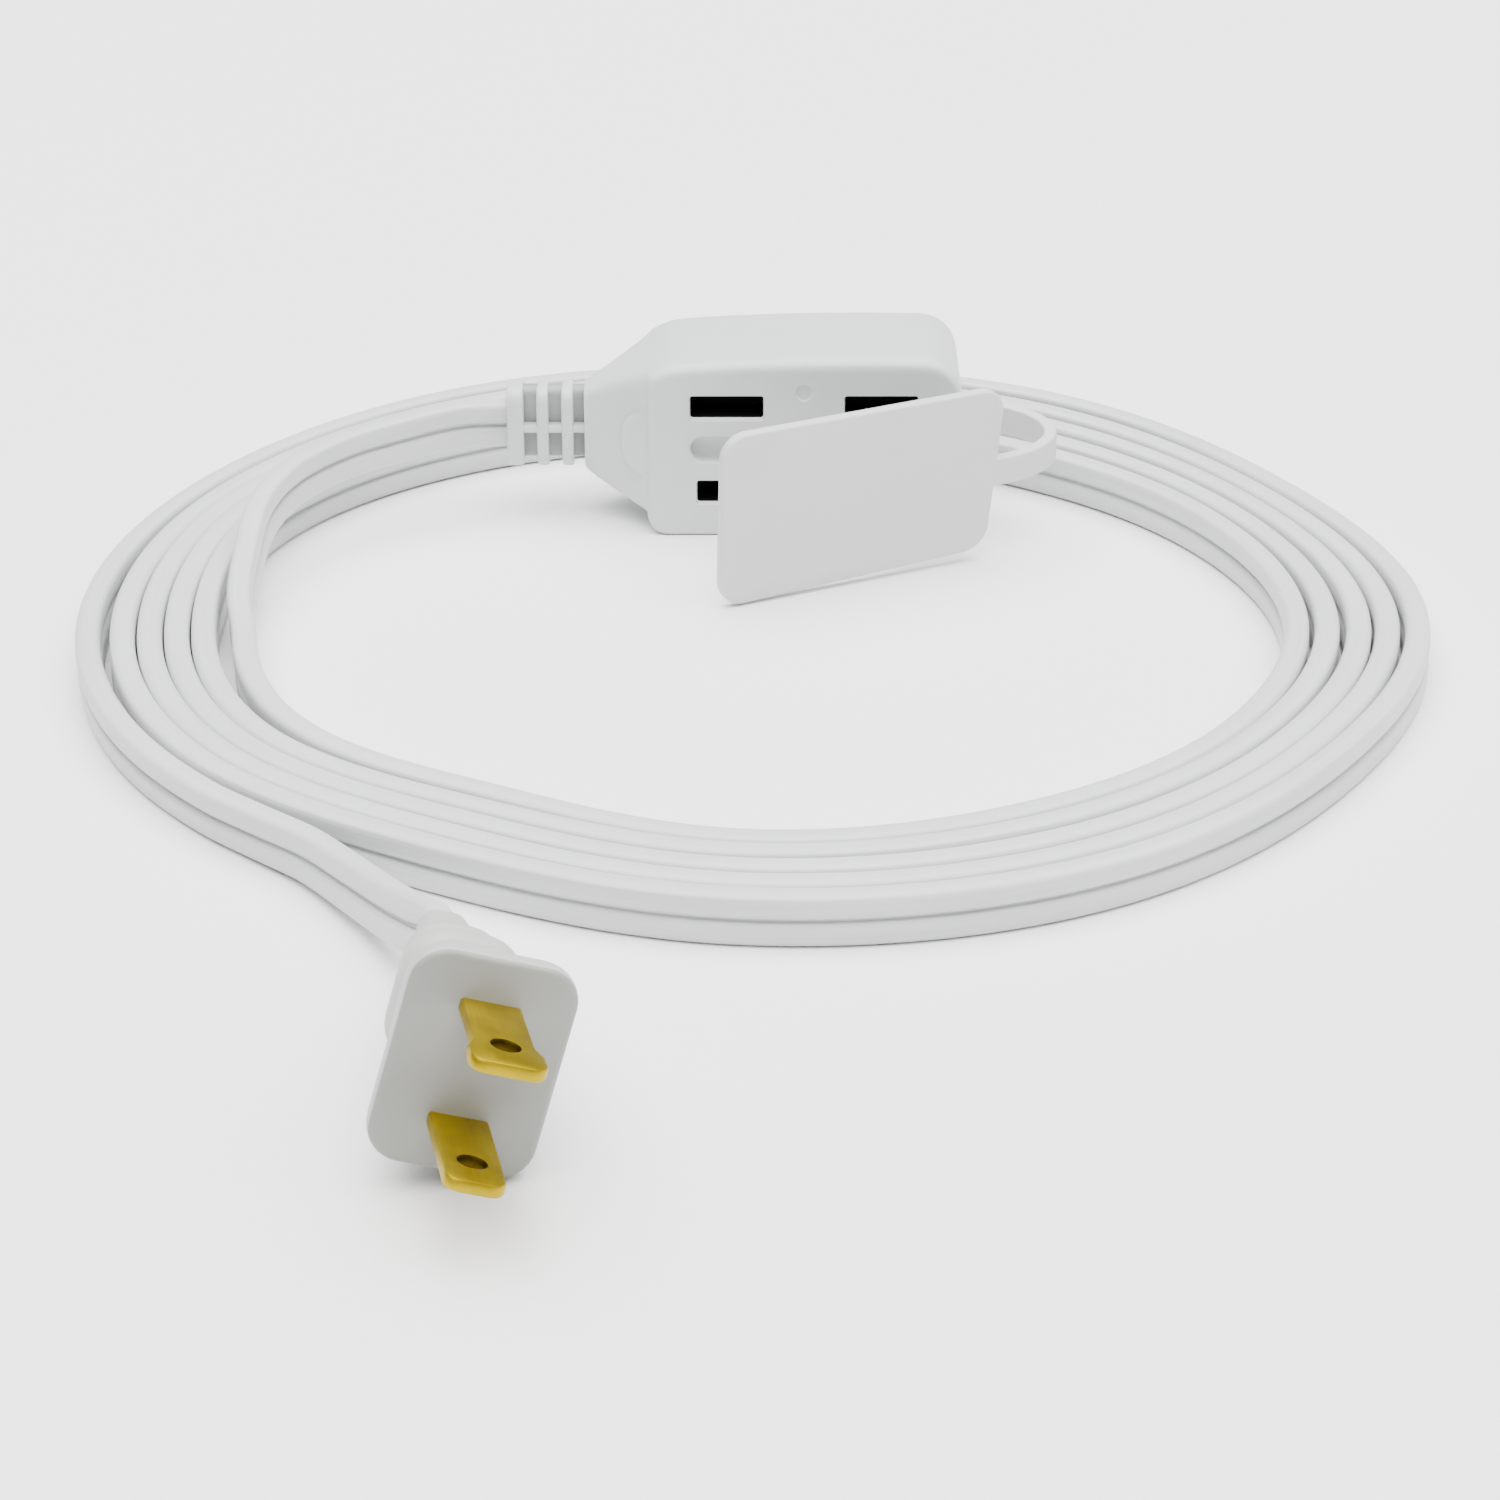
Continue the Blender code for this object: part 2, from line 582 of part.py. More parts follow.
def add_coil(material):
    """The coil's outer shape: a ring whose outlines step by one cord where the cord joins and leaves."""
    first = COIL_START_DEG / 360
    last = COIL_TURNS + COIL_END_DEG / 360
    count = 90
    half = CORD_THICKNESS / 2
    outer = [coil_point(last - 1 + i / count, half) for i in range(count + 1)]
    inner = [coil_point(first + i / count, -half) for i in range(count + 1)]

    def prism(name, outline, z_low, z_high):
        rings = [[(p.x, p.y, z) for p in outline] for z in (z_low, z_high)]
        return add_object(name, loft_bmesh(rings), material)

    coil = prism("cord_coil", outer, 0, CORD_WIDTH)
    cut(coil, prism("coil_eye", inner, -0.0010, CORD_WIDTH + 0.0010))


def add_cord_leads(material, plug_matrix):
    half_flat = (CORD_WIDTH - CORD_THICKNESS) / 2
    first = COIL_START_DEG / 360
    last = COIL_TURNS + COIL_END_DEG / 360
    step = 0.004
    lift = Vector((0, 0, CORD_Z))
    start = coil_point(first) + lift
    along = (coil_point(first + step) - coil_point(first)).normalized()
    tap_points = ((RELIEF_OUTER_X - GAP, 0, MID_Z), *TAP_LEAD, start - along * GAP)
    add_tube("cord_tap_lead", smooth_route(tap_points, 2), CORD_THICKNESS / 2, material, half_flat=half_flat)

    end = coil_point(last) + lift
    along = (coil_point(last) - coil_point(last - step)).normalized()
    entry = plug_matrix @ Vector((0, 0, -GRIP_SECTIONS[-1][0] - GAP))
    before = plug_matrix @ Vector((0, 0, -GRIP_SECTIONS[-1][0] - GAP - 0.0045))
    plug_points = (end + along * GAP, *PLUG_LEAD, before, entry)
    route = smooth_route(plug_points, 2)
    tilts = []
    for i in range(len(route)):
        share = i / (len(route) - 1)
        tilts.append(-math.radians(PLUG_ROLL_DEG) * share**2 * (3 - 2 * share))
    add_tube(
        "cord_plug_lead", route, CORD_THICKNESS / 2, material, half_flat=half_flat, tilts=tilts
    )


def plug_pose():
    """The plug's own frame: X to the right and Y up on its face, Z out of the face towards the blade tips."""
    yaw, pitch, roll = (math.radians(a) for a in (PLUG_YAW_DEG, PLUG_PITCH_DEG, PLUG_ROLL_DEG))
    forward = Vector((math.sin(yaw) * math.cos(pitch), -math.cos(yaw) * math.cos(pitch), math.sin(pitch)))
    level = Vector((math.cos(yaw), math.sin(yaw), 0))
    upright = -forward.cross(level)
    if upright.z < 0:
        upright = -upright
    up = upright * math.cos(roll) + level * math.sin(roll)
    right = level * math.cos(roll) - upright * math.sin(roll)
    turn = Matrix((right, up, forward)).transposed().to_4x4()
    return Matrix.Translation(PLUG_FACE) @ turn


def section_loft(name, sections, material, parent):
    rings = []
    for distance, half_width, half_height, corner in sections:
        outline = rounded_rectangle(half_width, half_height, corner, 5)
        rings.append([(a, b, -distance) for a, b in outline])
    return add_object(name, loft_bmesh(rings), material, parent)


def add_blade(name, y, tip_width, material, parent):
    """A flat blade whose rear end narrows into a crimp barrel. A wide tip marks the neutral one."""
    half, tip = BLADE_WIDTH / 2, tip_width / 2
    flare = BLADE_LENGTH - 0.0046
    rear = BRIDGE_FRONT + BRIDGE_LENGTH
    edge = [
        (half, -rear - GAP - 0.0003),
        (half, flare - 0.0012),
        (tip, flare + 0.0006 if tip > half else flare),
        (tip, BLADE_LENGTH - 0.0016),
        (tip - 0.0006, BLADE_LENGTH - 0.0005),
        (tip - 0.0018, BLADE_LENGTH),
    ]
    outline = edge + [(-x, z) for x, z in reversed(edge)]
    thick = BLADE_THICKNESS / 2
    rings = [[(x, y + t, z) for x, z in outline] for t in (-thick, thick)]
    blade = add_object(name, loft_bmesh(rings), material, parent)
    tab_end = -rear - 0.0012
    side = 1 if y > 0 else -1
    barrel_y = side * PLUG_BARREL_RISE
    tab_y = sorted((barrel_y, y + side * thick))
    tab_low, tab_high = (-0.0012, tab_y[0], tab_end - 0.0006), (0.0012, tab_y[1], -rear - GAP)
    unite(blade, add_box(f"{name}_tab", tab_low, tab_high, material, parent))
    start, end = (0, barrel_y, tab_end), (0, barrel_y, tab_end - 0.0034)
    unite(blade, add_cylinder(f"{name}_barrel", start, end, BARREL_RADIUS, material, parent, 12))
    bore_ends = ((0, barrel_y, tab_end - 0.0006), (0, barrel_y, tab_end - 0.0044))
    bore_radius = STRAND_RADIUS + 0.00015
    cut(blade, add_cylinder(f"{name}_bore", bore_ends[0], bore_ends[1], bore_radius, material, parent, 12))
    hole_y = (y - 0.0020, y + 0.0020)
    hole_ends = ((0, hole_y[0], BLADE_HOLE_AT), (0, hole_y[1], BLADE_HOLE_AT))
    cut(blade, add_cylinder(f"{name}_hole", hole_ends[0], hole_ends[1], BLADE_HOLE / 2, material, parent))
    return tab_end - 0.0034


def add_plug(materials):
    frame = bpy.data.objects.new("plug_frame", None)
    frame.matrix_world = plug_pose()
    bpy.context.scene.collection.objects.link(frame)
    vinyl = materials["vinyl"]
    body = section_loft("plug_body", PLUG_SECTIONS, vinyl, frame)
    half_y = BLADE_PITCH / 2 + BLADE_THICKNESS / 2 + 0.0011
    bridge_back = BRIDGE_FRONT + BRIDGE_LENGTH
    hollow_low = (-BRIDGE_HALF_WIDTH - GAP, -half_y - GAP, -bridge_back - GAP)
    hollow_high = (BRIDGE_HALF_WIDTH + GAP, half_y + GAP, -BRIDGE_FRONT + GAP)
    cut(body, add_box("plug_hollow", hollow_low, hollow_high, vinyl, frame))
    back = PLUG_SECTIONS[-1][0]
    way_x, way_y = WIRE_RADIUS + GAP, CONDUCTOR_PITCH / 2 + WIRE_RADIUS + GAP
    crimp_y = PLUG_BARREL_RISE + BARREL_RADIUS + GAP
    crimp_low = (-way_x, -crimp_y, -back - 0.0010)
    crimp_high = (way_x, crimp_y, -bridge_back)
    cut(body, add_box("crimp_room", crimp_low, crimp_high, vinyl, frame))
    tab_y = BLADE_PITCH / 2 + BLADE_THICKNESS / 2 + GAP
    tab_low = (-BLADE_WIDTH / 2 - GAP, -tab_y, -bridge_back - 0.0022)
    tab_high = (BLADE_WIDTH / 2 + GAP, tab_y, -bridge_back)
    cut(body, add_box("tab_room", tab_low, tab_high, vinyl, frame))

    bridge_low = (-BRIDGE_HALF_WIDTH, -half_y, -bridge_back)
    bridge_high = (BRIDGE_HALF_WIDTH, half_y, -BRIDGE_FRONT)
    bridge = add_box("plug_bridge", bridge_low, bridge_high, materials["core"], frame)
    half_blade = BLADE_WIDTH / 2 + GAP
    half_thick = BLADE_THICKNESS / 2 + GAP
    for label, y, tip in (("neutral", BLADE_PITCH / 2, NEUTRAL_TIP_WIDTH), ("hot", -BLADE_PITCH / 2, BLADE_WIDTH)):
        way = ((-half_blade, y - half_thick, -bridge_back - 0.0010), (half_blade, y + half_thick, 0.0010))
        for target in (body, bridge):
            cut(target, add_box(f"{target.name}_{label}_way", way[0], way[1], vinyl, frame))
        barrel_end = add_blade(f"plug_{label}_blade", y, tip, materials["brass"], frame)
        side = 1 if y > 0 else -1
        cord_y = side * CONDUCTOR_PITCH / 2
        relief_end = -GRIP_SECTIONS[-1][0]
        barrel_y = side * PLUG_BARREL_RISE
        points = (
            (0, barrel_y, barrel_end - GAP),
            (0, barrel_y - side * 0.0002, barrel_end - 0.0012),
            (0, cord_y + side * 0.0005, -back - 0.0036),
            (0, cord_y, -back - 0.0062),
            (0, cord_y, relief_end + GAP),
        )
        wire = smooth_route(points, 4)
        add_tube(f"plug_{label}_wire", wire, WIRE_RADIUS, materials[f"{label}_insulation"], frame)
        strand_ends = ((0, barrel_y, barrel_end), (0, barrel_y, barrel_end + 0.0026))
        name = f"plug_{label}_strands"
        add_cylinder(name, strand_ends[0], strand_ends[1], STRAND_RADIUS, materials["copper"], frame, 10)

    grip = section_loft("plug_strain_relief", GRIP_SECTIONS, vinyl, frame)
    grip_low = (-way_x, -way_y, -GRIP_SECTIONS[-1][0] - 0.0010)
    grip_high = (way_x, way_y, -GRIP_SECTIONS[0][0] + 0.0010)
    cut(grip, add_box("grip_way", grip_low, grip_high, vinyl, frame))
    mouth_low = (-way_x, -crimp_y, -GRIP_SECTIONS[3][0])
    cut(grip, add_box("grip_mouth", mouth_low, (way_x, crimp_y, grip_high[2]), vinyl, frame))


def main():
    clear_scene()
    materials = {
        "vinyl": make_material("white_vinyl", (0.86, 0.87, 0.87), 0.45),
        "cover": make_material("cover_plastic", (0.84, 0.84, 0.83), 0.5),
        "core": make_material("core_plastic", (0.30, 0.30, 0.28), 0.6),
        "jacket": make_material("cord_jacket", (0.85, 0.86, 0.87), 0.42),
        "neutral_insulation": make_material("neutral_insulation", (0.82, 0.83, 0.84), 0.5),
        "hot_insulation": make_material("hot_insulation", (0.80, 0.81, 0.82), 0.5),
        "copper": make_material("stranded_copper", (0.78, 0.42, 0.25), 0.35, 1.0),
        "brass": make_material("plain_brass", (0.80, 0.62, 0.22), 0.32, 1.0),
    }
    add_tap_body(materials["vinyl"])
    add_carrier("tap_front_carrier", True, materials["core"])
    add_carrier("tap_rear_carrier", False, materials["core"])
    add_bus("tap_neutral_bus", NEUTRAL_Z, 1, materials["brass"])
    add_bus("tap_hot_bus", HOT_Z, -1, materials["brass"])
    add_tap_wires(materials["neutral_insulation"], materials["copper"])
    add_tap_relief(materials["vinyl"])
    add_cover(materials["cover"])
    add_strap(materials["cover"])
    add_coil(materials["jacket"])
    add_cord_leads(materials["jacket"], plug_pose())
    add_plug(materials)


main()
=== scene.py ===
import math

import bmesh
import bpy
from mathutils import Matrix, Vector


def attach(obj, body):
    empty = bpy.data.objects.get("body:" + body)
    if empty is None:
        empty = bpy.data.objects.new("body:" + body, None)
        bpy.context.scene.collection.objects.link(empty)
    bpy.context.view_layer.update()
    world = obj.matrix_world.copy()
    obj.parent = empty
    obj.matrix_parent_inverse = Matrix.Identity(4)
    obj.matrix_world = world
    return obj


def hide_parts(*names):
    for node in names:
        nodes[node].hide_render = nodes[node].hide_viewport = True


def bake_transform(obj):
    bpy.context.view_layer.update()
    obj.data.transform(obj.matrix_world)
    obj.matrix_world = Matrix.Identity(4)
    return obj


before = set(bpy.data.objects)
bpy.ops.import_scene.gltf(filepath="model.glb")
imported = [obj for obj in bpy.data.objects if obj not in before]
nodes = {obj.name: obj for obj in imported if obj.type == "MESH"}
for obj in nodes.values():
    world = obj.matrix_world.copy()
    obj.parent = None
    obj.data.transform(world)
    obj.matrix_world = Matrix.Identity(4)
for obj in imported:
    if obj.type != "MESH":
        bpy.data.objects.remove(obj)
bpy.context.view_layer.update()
print("frame in:", len(nodes), "nodes")


def hexColour(code):
    parts = [int(code[i:i + 2], 16) / 255 for i in (1, 3, 5)]
    linear = [p / 12.92 if p <= 0.04045 else ((p + 0.055) / 1.055) ** 2.4 for p in parts]
    return (*linear, 1.0)


def addNode(tree, kind, settings=None, inputs=None):
    node = tree.nodes.new(kind)
    for name, value in (settings or {}).items():
        setattr(node, name, value)
    for key, value in (inputs or {}).items():
        if isinstance(value, bpy.types.NodeSocket):
            tree.links.new(value, node.inputs[key])
        else:
            node.inputs[key].default_value = value
    return node


def roundedLoop(halfA, low, high, cornerRadii, perCorner=7, perSide=3):
    # a rectangle from -halfA to halfA and low to high, one radius per corner: top right first, anticlockwise
    corners = ((1, high, 0), (-1, high, 90), (-1, low, 180), (1, low, 270))
    arcs = []
    for (side, edge, start), radius in zip(corners, cornerRadii):
        radius = min(radius, halfA * 0.98, (high - low) * 0.49)
        centreA = side * (halfA - radius)
        centreB = edge - radius if edge == high else edge + radius
        arc = []
        for step in range(perCorner):
            angle = math.radians(start + 90 * step / (perCorner - 1))
            arc.append((centreA + radius * math.cos(angle), centreB + radius * math.sin(angle)))
        arcs.append(arc)
    loop = []
    for arc, following in zip(arcs, arcs[1:] + arcs[:1]):
        loop += arc
        (a, b), (c, d) = arc[-1], following[0]
        loop += [(a + (c - a) * k / perSide, b + (d - b) * k / perSide) for k in range(1, perSide)]
    return loop


def loftInto(bm, rings, materialIndex=0):
    made = [[bm.verts.new(point) for point in ring] for ring in rings]
    faces = []
    for first, second in zip(made, made[1:]):
        for i in range(len(first)):
            j = (i + 1) % len(first)
            faces.append(bm.faces.new((first[i], first[j], second[j], second[i])))
    faces.append(bm.faces.new(made[0]))
    faces.append(bm.faces.new(reversed(made[-1])))
    for face in faces:
        face.material_index = materialIndex
    return faces


def newObject(name, bm, materials, sharpDeg=32):
    bmesh.ops.recalc_face_normals(bm, faces=bm.faces)
    mesh = bpy.data.meshes.new(name)
    bm.to_mesh(mesh)
    bm.free()
    for material in materials:
        mesh.materials.append(material)
    mesh.shade_smooth()
    mesh.set_sharp_from_angle(angle=math.radians(sharpDeg))
    obj = bpy.data.objects.new(name, mesh)
    bpy.context.scene.collection.objects.link(obj)
    return obj


def bakeModifiers(obj, name, sharpDeg=32):
    # the evaluated result as a plain mesh under its final name, with the tools cleared away
    helpers = [m.object for m in obj.modifiers if m.type == "BOOLEAN"]
    bpy.context.view_layer.update()
    mesh = bpy.data.meshes.new_from_object(obj.evaluated_get(bpy.context.evaluated_depsgraph_get()))
    for helper in [*helpers, obj]:
        bpy.data.objects.remove(helper, do_unlink=True)
    mesh.name = name
    mesh.shade_smooth()
    mesh.set_sharp_from_angle(angle=math.radians(sharpDeg))
    baked = bpy.data.objects.new(name, mesh)
    bpy.context.scene.collection.objects.link(baked)
    return baked


def carve(obj, tool, operation="DIFFERENCE"):
    modifier = obj.modifiers.new(tool.name, "BOOLEAN")
    modifier.operation = operation
    modifier.solver = "EXACT"
    modifier.object = tool
    tool.hide_render = True


def settle(piece, body, slot, *replaced):
    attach(piece, body)
    if replaced:
        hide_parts(*replaced)
    return piece


def newMaterial(name):
    material = bpy.data.materials.new(name)
    material.use_nodes = True
    return material, material.node_tree, material.node_tree.nodes["Principled BSDF"]


def mouldedVinyl(name, light, dark, roughness=0.44, grain=0.35, grainDepth=0.010, swell=0.02):
    # soft PVC from a polished steel mould: an even milky white with a satin gloss that breaks up slightly
    material, tree, shader = newMaterial(name)
    place = addNode(tree, "ShaderNodeTexCoord").outputs["Object"]
    cloud = addNode(tree, "ShaderNodeTexNoise", None, {"Vector": place, "Scale": 1000 / 9, "Detail": 3.0})
    tint = addNode(tree, "ShaderNodeMix", {"data_type": "RGBA"}, {
        0: cloud.outputs["Fac"], 6: hexColour(dark), 7: hexColour(light)})
    tree.links.new(tint.outputs[2], shader.inputs["Base Color"])
    fine = addNode(tree, "ShaderNodeTexNoise", None, {"Vector": place, "Scale": 1000 / grain, "Detail": 2.0})
    gloss = addNode(tree, "ShaderNodeMapRange", None, {
        "Value": fine.outputs["Fac"], "To Min": roughness - 0.05, "To Max": roughness + 0.07})
    tree.links.new(gloss.outputs["Result"], shader.inputs["Roughness"])
    wave = addNode(tree, "ShaderNodeTexNoise", None, {"Vector": place, "Scale": 1000 / 5, "Detail": 1.0})
    soft = addNode(tree, "ShaderNodeBump", None, {
        "Height": wave.outputs["Fac"], "Strength": 0.35, "Distance": swell / 1000})
    bump = addNode(tree, "ShaderNodeBump", None, {
        "Height": fine.outputs["Fac"], "Strength": 0.5, "Distance": grainDepth / 1000,
        "Normal": soft.outputs["Normal"]})
    tree.links.new(bump.outputs["Normal"], shader.inputs["Normal"])
    shader.inputs["IOR"].default_value = 1.53
    return material


def extrudedJacket(name, light, dark):
    # PVC drawn through a die: faint lines run along the cord, and the gloss is a little uneven across it
    material, tree, shader = newMaterial(name)
    across = addNode(tree, "ShaderNodeAttribute", {"attribute_name": "acrossCord"}).outputs["Vector"]
    along = addNode(tree, "ShaderNodeAttribute", {"attribute_name": "alongCord"}).outputs["Fac"]
    side = addNode(tree, "ShaderNodeSeparateXYZ", None, {"Vector": across})
    stretched = addNode(tree, "ShaderNodeMath", {"operation": "MULTIPLY"}, {0: along, 1: 0.012})
    place = addNode(tree, "ShaderNodeCombineXYZ", None, {
        "X": side.outputs["X"], "Y": side.outputs["Y"], "Z": stretched.outputs["Value"]})
    lines = addNode(tree, "ShaderNodeTexNoise", None, {
        "Vector": place.outputs["Vector"], "Scale": 1000 / 0.42, "Detail": 2.0})
    slow = addNode(tree, "ShaderNodeMath", {"operation": "MULTIPLY"}, {0: along, 1: 0.25})
    patch = addNode(tree, "ShaderNodeCombineXYZ", None, {
        "X": side.outputs["X"], "Y": side.outputs["Y"], "Z": slow.outputs["Value"]})
    cloud = addNode(tree, "ShaderNodeTexNoise", None, {
        "Vector": patch.outputs["Vector"], "Scale": 1000 / 6, "Detail": 2.0})
    share = addNode(tree, "ShaderNodeMath", {"operation": "MULTIPLY_ADD"}, {
        0: lines.outputs["Fac"], 1: 0.6, 2: -0.05})
    both = addNode(tree, "ShaderNodeMath", {"operation": "MULTIPLY_ADD"}, {
        0: cloud.outputs["Fac"], 1: 0.45, 2: share.outputs["Value"]})
    tint = addNode(tree, "ShaderNodeMix", {"data_type": "RGBA"}, {
        0: both.outputs["Value"], 6: hexColour(dark), 7: hexColour(light)})
    tree.links.new(tint.outputs[2], shader.inputs["Base Color"])
    gloss = addNode(tree, "ShaderNodeMapRange", None, {
        "Value": lines.outputs["Fac"], "To Min": 0.36, "To Max": 0.52})
    tree.links.new(gloss.outputs["Result"], shader.inputs["Roughness"])
    bump = addNode(tree, "ShaderNodeBump", None, {
        "Height": lines.outputs["Fac"], "Strength": 0.8, "Distance": 0.07 / 1000})
    tree.links.new(bump.outputs["Normal"], shader.inputs["Normal"])
    shader.inputs["IOR"].default_value = 1.53
    return material


def rolledBrass(name, turn, light="#CDB04A", dark="#9A7E22"):
    # yellow brass strip as it comes from the press: rolling lines along the blade, dulled in patches
    material, tree, shader = newMaterial(name)
    place = addNode(tree, "ShaderNodeTexCoord").outputs["Object"]
    turned = addNode(tree, "ShaderNodeMapping", {"vector_type": "TEXTURE"}, {
        "Vector": place, "Rotation": turn})
    drawn = addNode(tree, "ShaderNodeMapping", None, {
        "Vector": turned.outputs["Vector"], "Scale": (1, 1, 0.04)})
    lines = addNode(tree, "ShaderNodeTexNoise", None, {
        "Vector": drawn.outputs["Vector"], "Scale": 1000 / 0.25, "Detail": 3.0})
    cloud = addNode(tree, "ShaderNodeTexNoise", None, {"Vector": place, "Scale": 1000 / 3.5, "Detail": 3.0})
    share = addNode(tree, "ShaderNodeMath", {"operation": "MULTIPLY_ADD"}, {
        0: lines.outputs["Fac"], 1: 0.35, 2: 0.1})
    both = addNode(tree, "ShaderNodeMath", {"operation": "MULTIPLY_ADD"}, {
        0: cloud.outputs["Fac"], 1: 0.8, 2: share.outputs["Value"]})
    tint = addNode(tree, "ShaderNodeMix", {"data_type": "RGBA"}, {
        0: both.outputs["Value"], 6: hexColour(dark), 7: hexColour(light)})
    tree.links.new(tint.outputs[2], shader.inputs["Base Color"])
    gloss = addNode(tree, "ShaderNodeMapRange", None, {
        "Value": cloud.outputs["Fac"], "To Min": 0.40, "To Max": 0.56})
    tree.links.new(gloss.outputs["Result"], shader.inputs["Roughness"])
    bump = addNode(tree, "ShaderNodeBump", None, {
        "Height": lines.outputs["Fac"], "Strength": 0.4, "Distance": 0.006 / 1000})
    tree.links.new(bump.outputs["Normal"], shader.inputs["Normal"])
    shader.inputs["Metallic"].default_value = 1.0
    return material


def darkPhenolic(name):
    # thermoset insert, black-brown and dull, with a speckle of filler; the tap shell's slot walls take it
    # too, as painted shade
    material, tree, shader = newMaterial(name)
    place = addNode(tree, "ShaderNodeTexCoord").outputs["Object"]
    speck = addNode(tree, "ShaderNodeTexNoise", None, {"Vector": place, "Scale": 1000 / 0.6, "Detail": 3.0})
    tint = addNode(tree, "ShaderNodeMix", {"data_type": "RGBA"}, {
        0: speck.outputs["Fac"], 6: hexColour("#050505"), 7: hexColour("#0B0A0A")})
    tree.links.new(tint.outputs[2], shader.inputs["Base Color"])
    bump = addNode(tree, "ShaderNodeBump", None, {
        "Height": speck.outputs["Fac"], "Strength": 0.3, "Distance": 0.02 / 1000})
    tree.links.new(bump.outputs["Normal"], shader.inputs["Normal"])
    shader.inputs["Roughness"].default_value = 0.8
    shader.inputs["Specular IOR Level"].default_value = 0.15
    return material


def twistedCopper(name):
    # bunched copper strands of about 0.16 mm laid in a slow twist, drawn as slanting ridges
    material, tree, shader = newMaterial(name)
    place = addNode(tree, "ShaderNodeTexCoord").outputs["Object"]
    slant = addNode(tree, "ShaderNodeMapping", None, {"Vector": place, "Rotation": (0.5, 0.4, 0.6)})
    strands = addNode(tree, "ShaderNodeTexWave", {"wave_profile": "SIN"}, {
        "Vector": slant.outputs["Vector"], "Scale": 1000 / 0.32 / 3.2, "Distortion": 0.6})
    tint = addNode(tree, "ShaderNodeMix", {"data_type": "RGBA"}, {
        0: strands.outputs["Fac"], 6: hexColour("#8A4526"), 7: hexColour("#D98A5E")})
    tree.links.new(tint.outputs[2], shader.inputs["Base Color"])
    bump = addNode(tree, "ShaderNodeBump", None, {
        "Height": strands.outputs["Fac"], "Strength": 0.6, "Distance": 0.05 / 1000})
    tree.links.new(bump.outputs["Normal"], shader.inputs["Normal"])
    shader.inputs["Metallic"].default_value = 1.0
    shader.inputs["Roughness"].default_value = 0.34
    return material


def paperFloor(name):
    # seamless white studio paper, matt
    material, tree, shader = newMaterial(name)
    place = addNode(tree, "ShaderNodeTexCoord").outputs["Object"]
    fibre = addNode(tree, "ShaderNodeTexNoise", None, {"Vector": place, "Scale": 1000 / 2.0, "Detail": 3.0})
    tint = addNode(tree, "ShaderNodeMix", {"data_type": "RGBA"}, {
        0: fibre.outputs["Fac"], 6: hexColour("#F0F0F0"), 7: hexColour("#F4F4F4")})
    tree.links.new(tint.outputs[2], shader.inputs["Base Color"])
    shader.inputs["Roughness"].default_value = 0.9
    shader.inputs["Specular IOR Level"].default_value = 0.1
    return material


camera = {"place": (-0.00755, -0.4985, 0.2137), "tiltDeg": 63.07, "lensMm": 90, "sensorMm": 36,
          "nearest": 0.01}


def makeCamera():
    lens = bpy.data.cameras.new("camera")
    lens.lens, lens.sensor_width = camera["lensMm"], camera["sensorMm"]
    lens.clip_start = camera["nearest"]
    eye = bpy.data.objects.new("camera", lens)
    eye.location = camera["place"]
    eye.rotation_euler = (math.radians(camera["tiltDeg"]), 0, 0)
    bpy.context.scene.collection.objects.link(eye)
    bpy.context.scene.camera = eye


makeCamera()
print("camera set")

cord = {
    "width": 0.0066, "thickness": 0.0033, "webShare": 0.46, "webWidth": 0.06, "roundness": 3.6,
    "pointsAround": 56,
    "centre": (-0.00755, -0.0485), "turns": 5, "startDeg": 5.0, "endDeg": 30.0,
    "lieZ": 0.0033, "coilSteps": 240, "routeStep": 0.0016, "uprightLead": 0.055, "entryRun": 0.0045,
    # centre line radii every 30 degrees from +X, of the first and the last turn
    "inner": (0.0700, 0.0685, 0.0655, 0.0665, 0.0700, 0.0715, 0.0666, 0.0657, 0.0605, 0.0635, 0.0650, 0.0681),
    "outer": (0.0891, 0.0871, 0.0894, 0.0880, 0.0895, 0.0883, 0.0869, 0.0837, 0.0780, 0.0801, 0.0827, 0.0841),
    # how far each turn lies off an even spiral, in mm, at every quarter from the left side
    "driftMm": (0.1, -0.8, 0.0, 0.0, 1.3, -0.75, 0.25, 0.0, 0.75, -0.4, 0.5, 0.0,
                0.15, -0.1, 0.5, 0.0, -0.3, 0.0, 0.7, 0.0, 0.0, 0.0),
    "tapLead": (
        (-0.04855, -0.0008, 0.0130), (-0.05685, -0.0048, 0.0125), (-0.06450, -0.0098, 0.0119),
        (-0.07090, -0.0168, 0.0109), (-0.07440, -0.0258, 0.0095), (-0.07530, -0.0365, 0.0069),
        (-0.07520, -0.0460, 0.0046)),
    "plugLead": (
        (-0.07255, -0.1000, 0.0034), (-0.06575, -0.1063, 0.0035), (-0.05935, -0.1122, 0.0037),
        (-0.05355, -0.1200, 0.0042), (-0.0484, -0.1281, 0.0053), (-0.0448, -0.1344, 0.0069)),
    "tapStart": (-0.0400, 0.0, 0.0130), "tapExit": (-0.04285, 0.0, 0.0130),
}

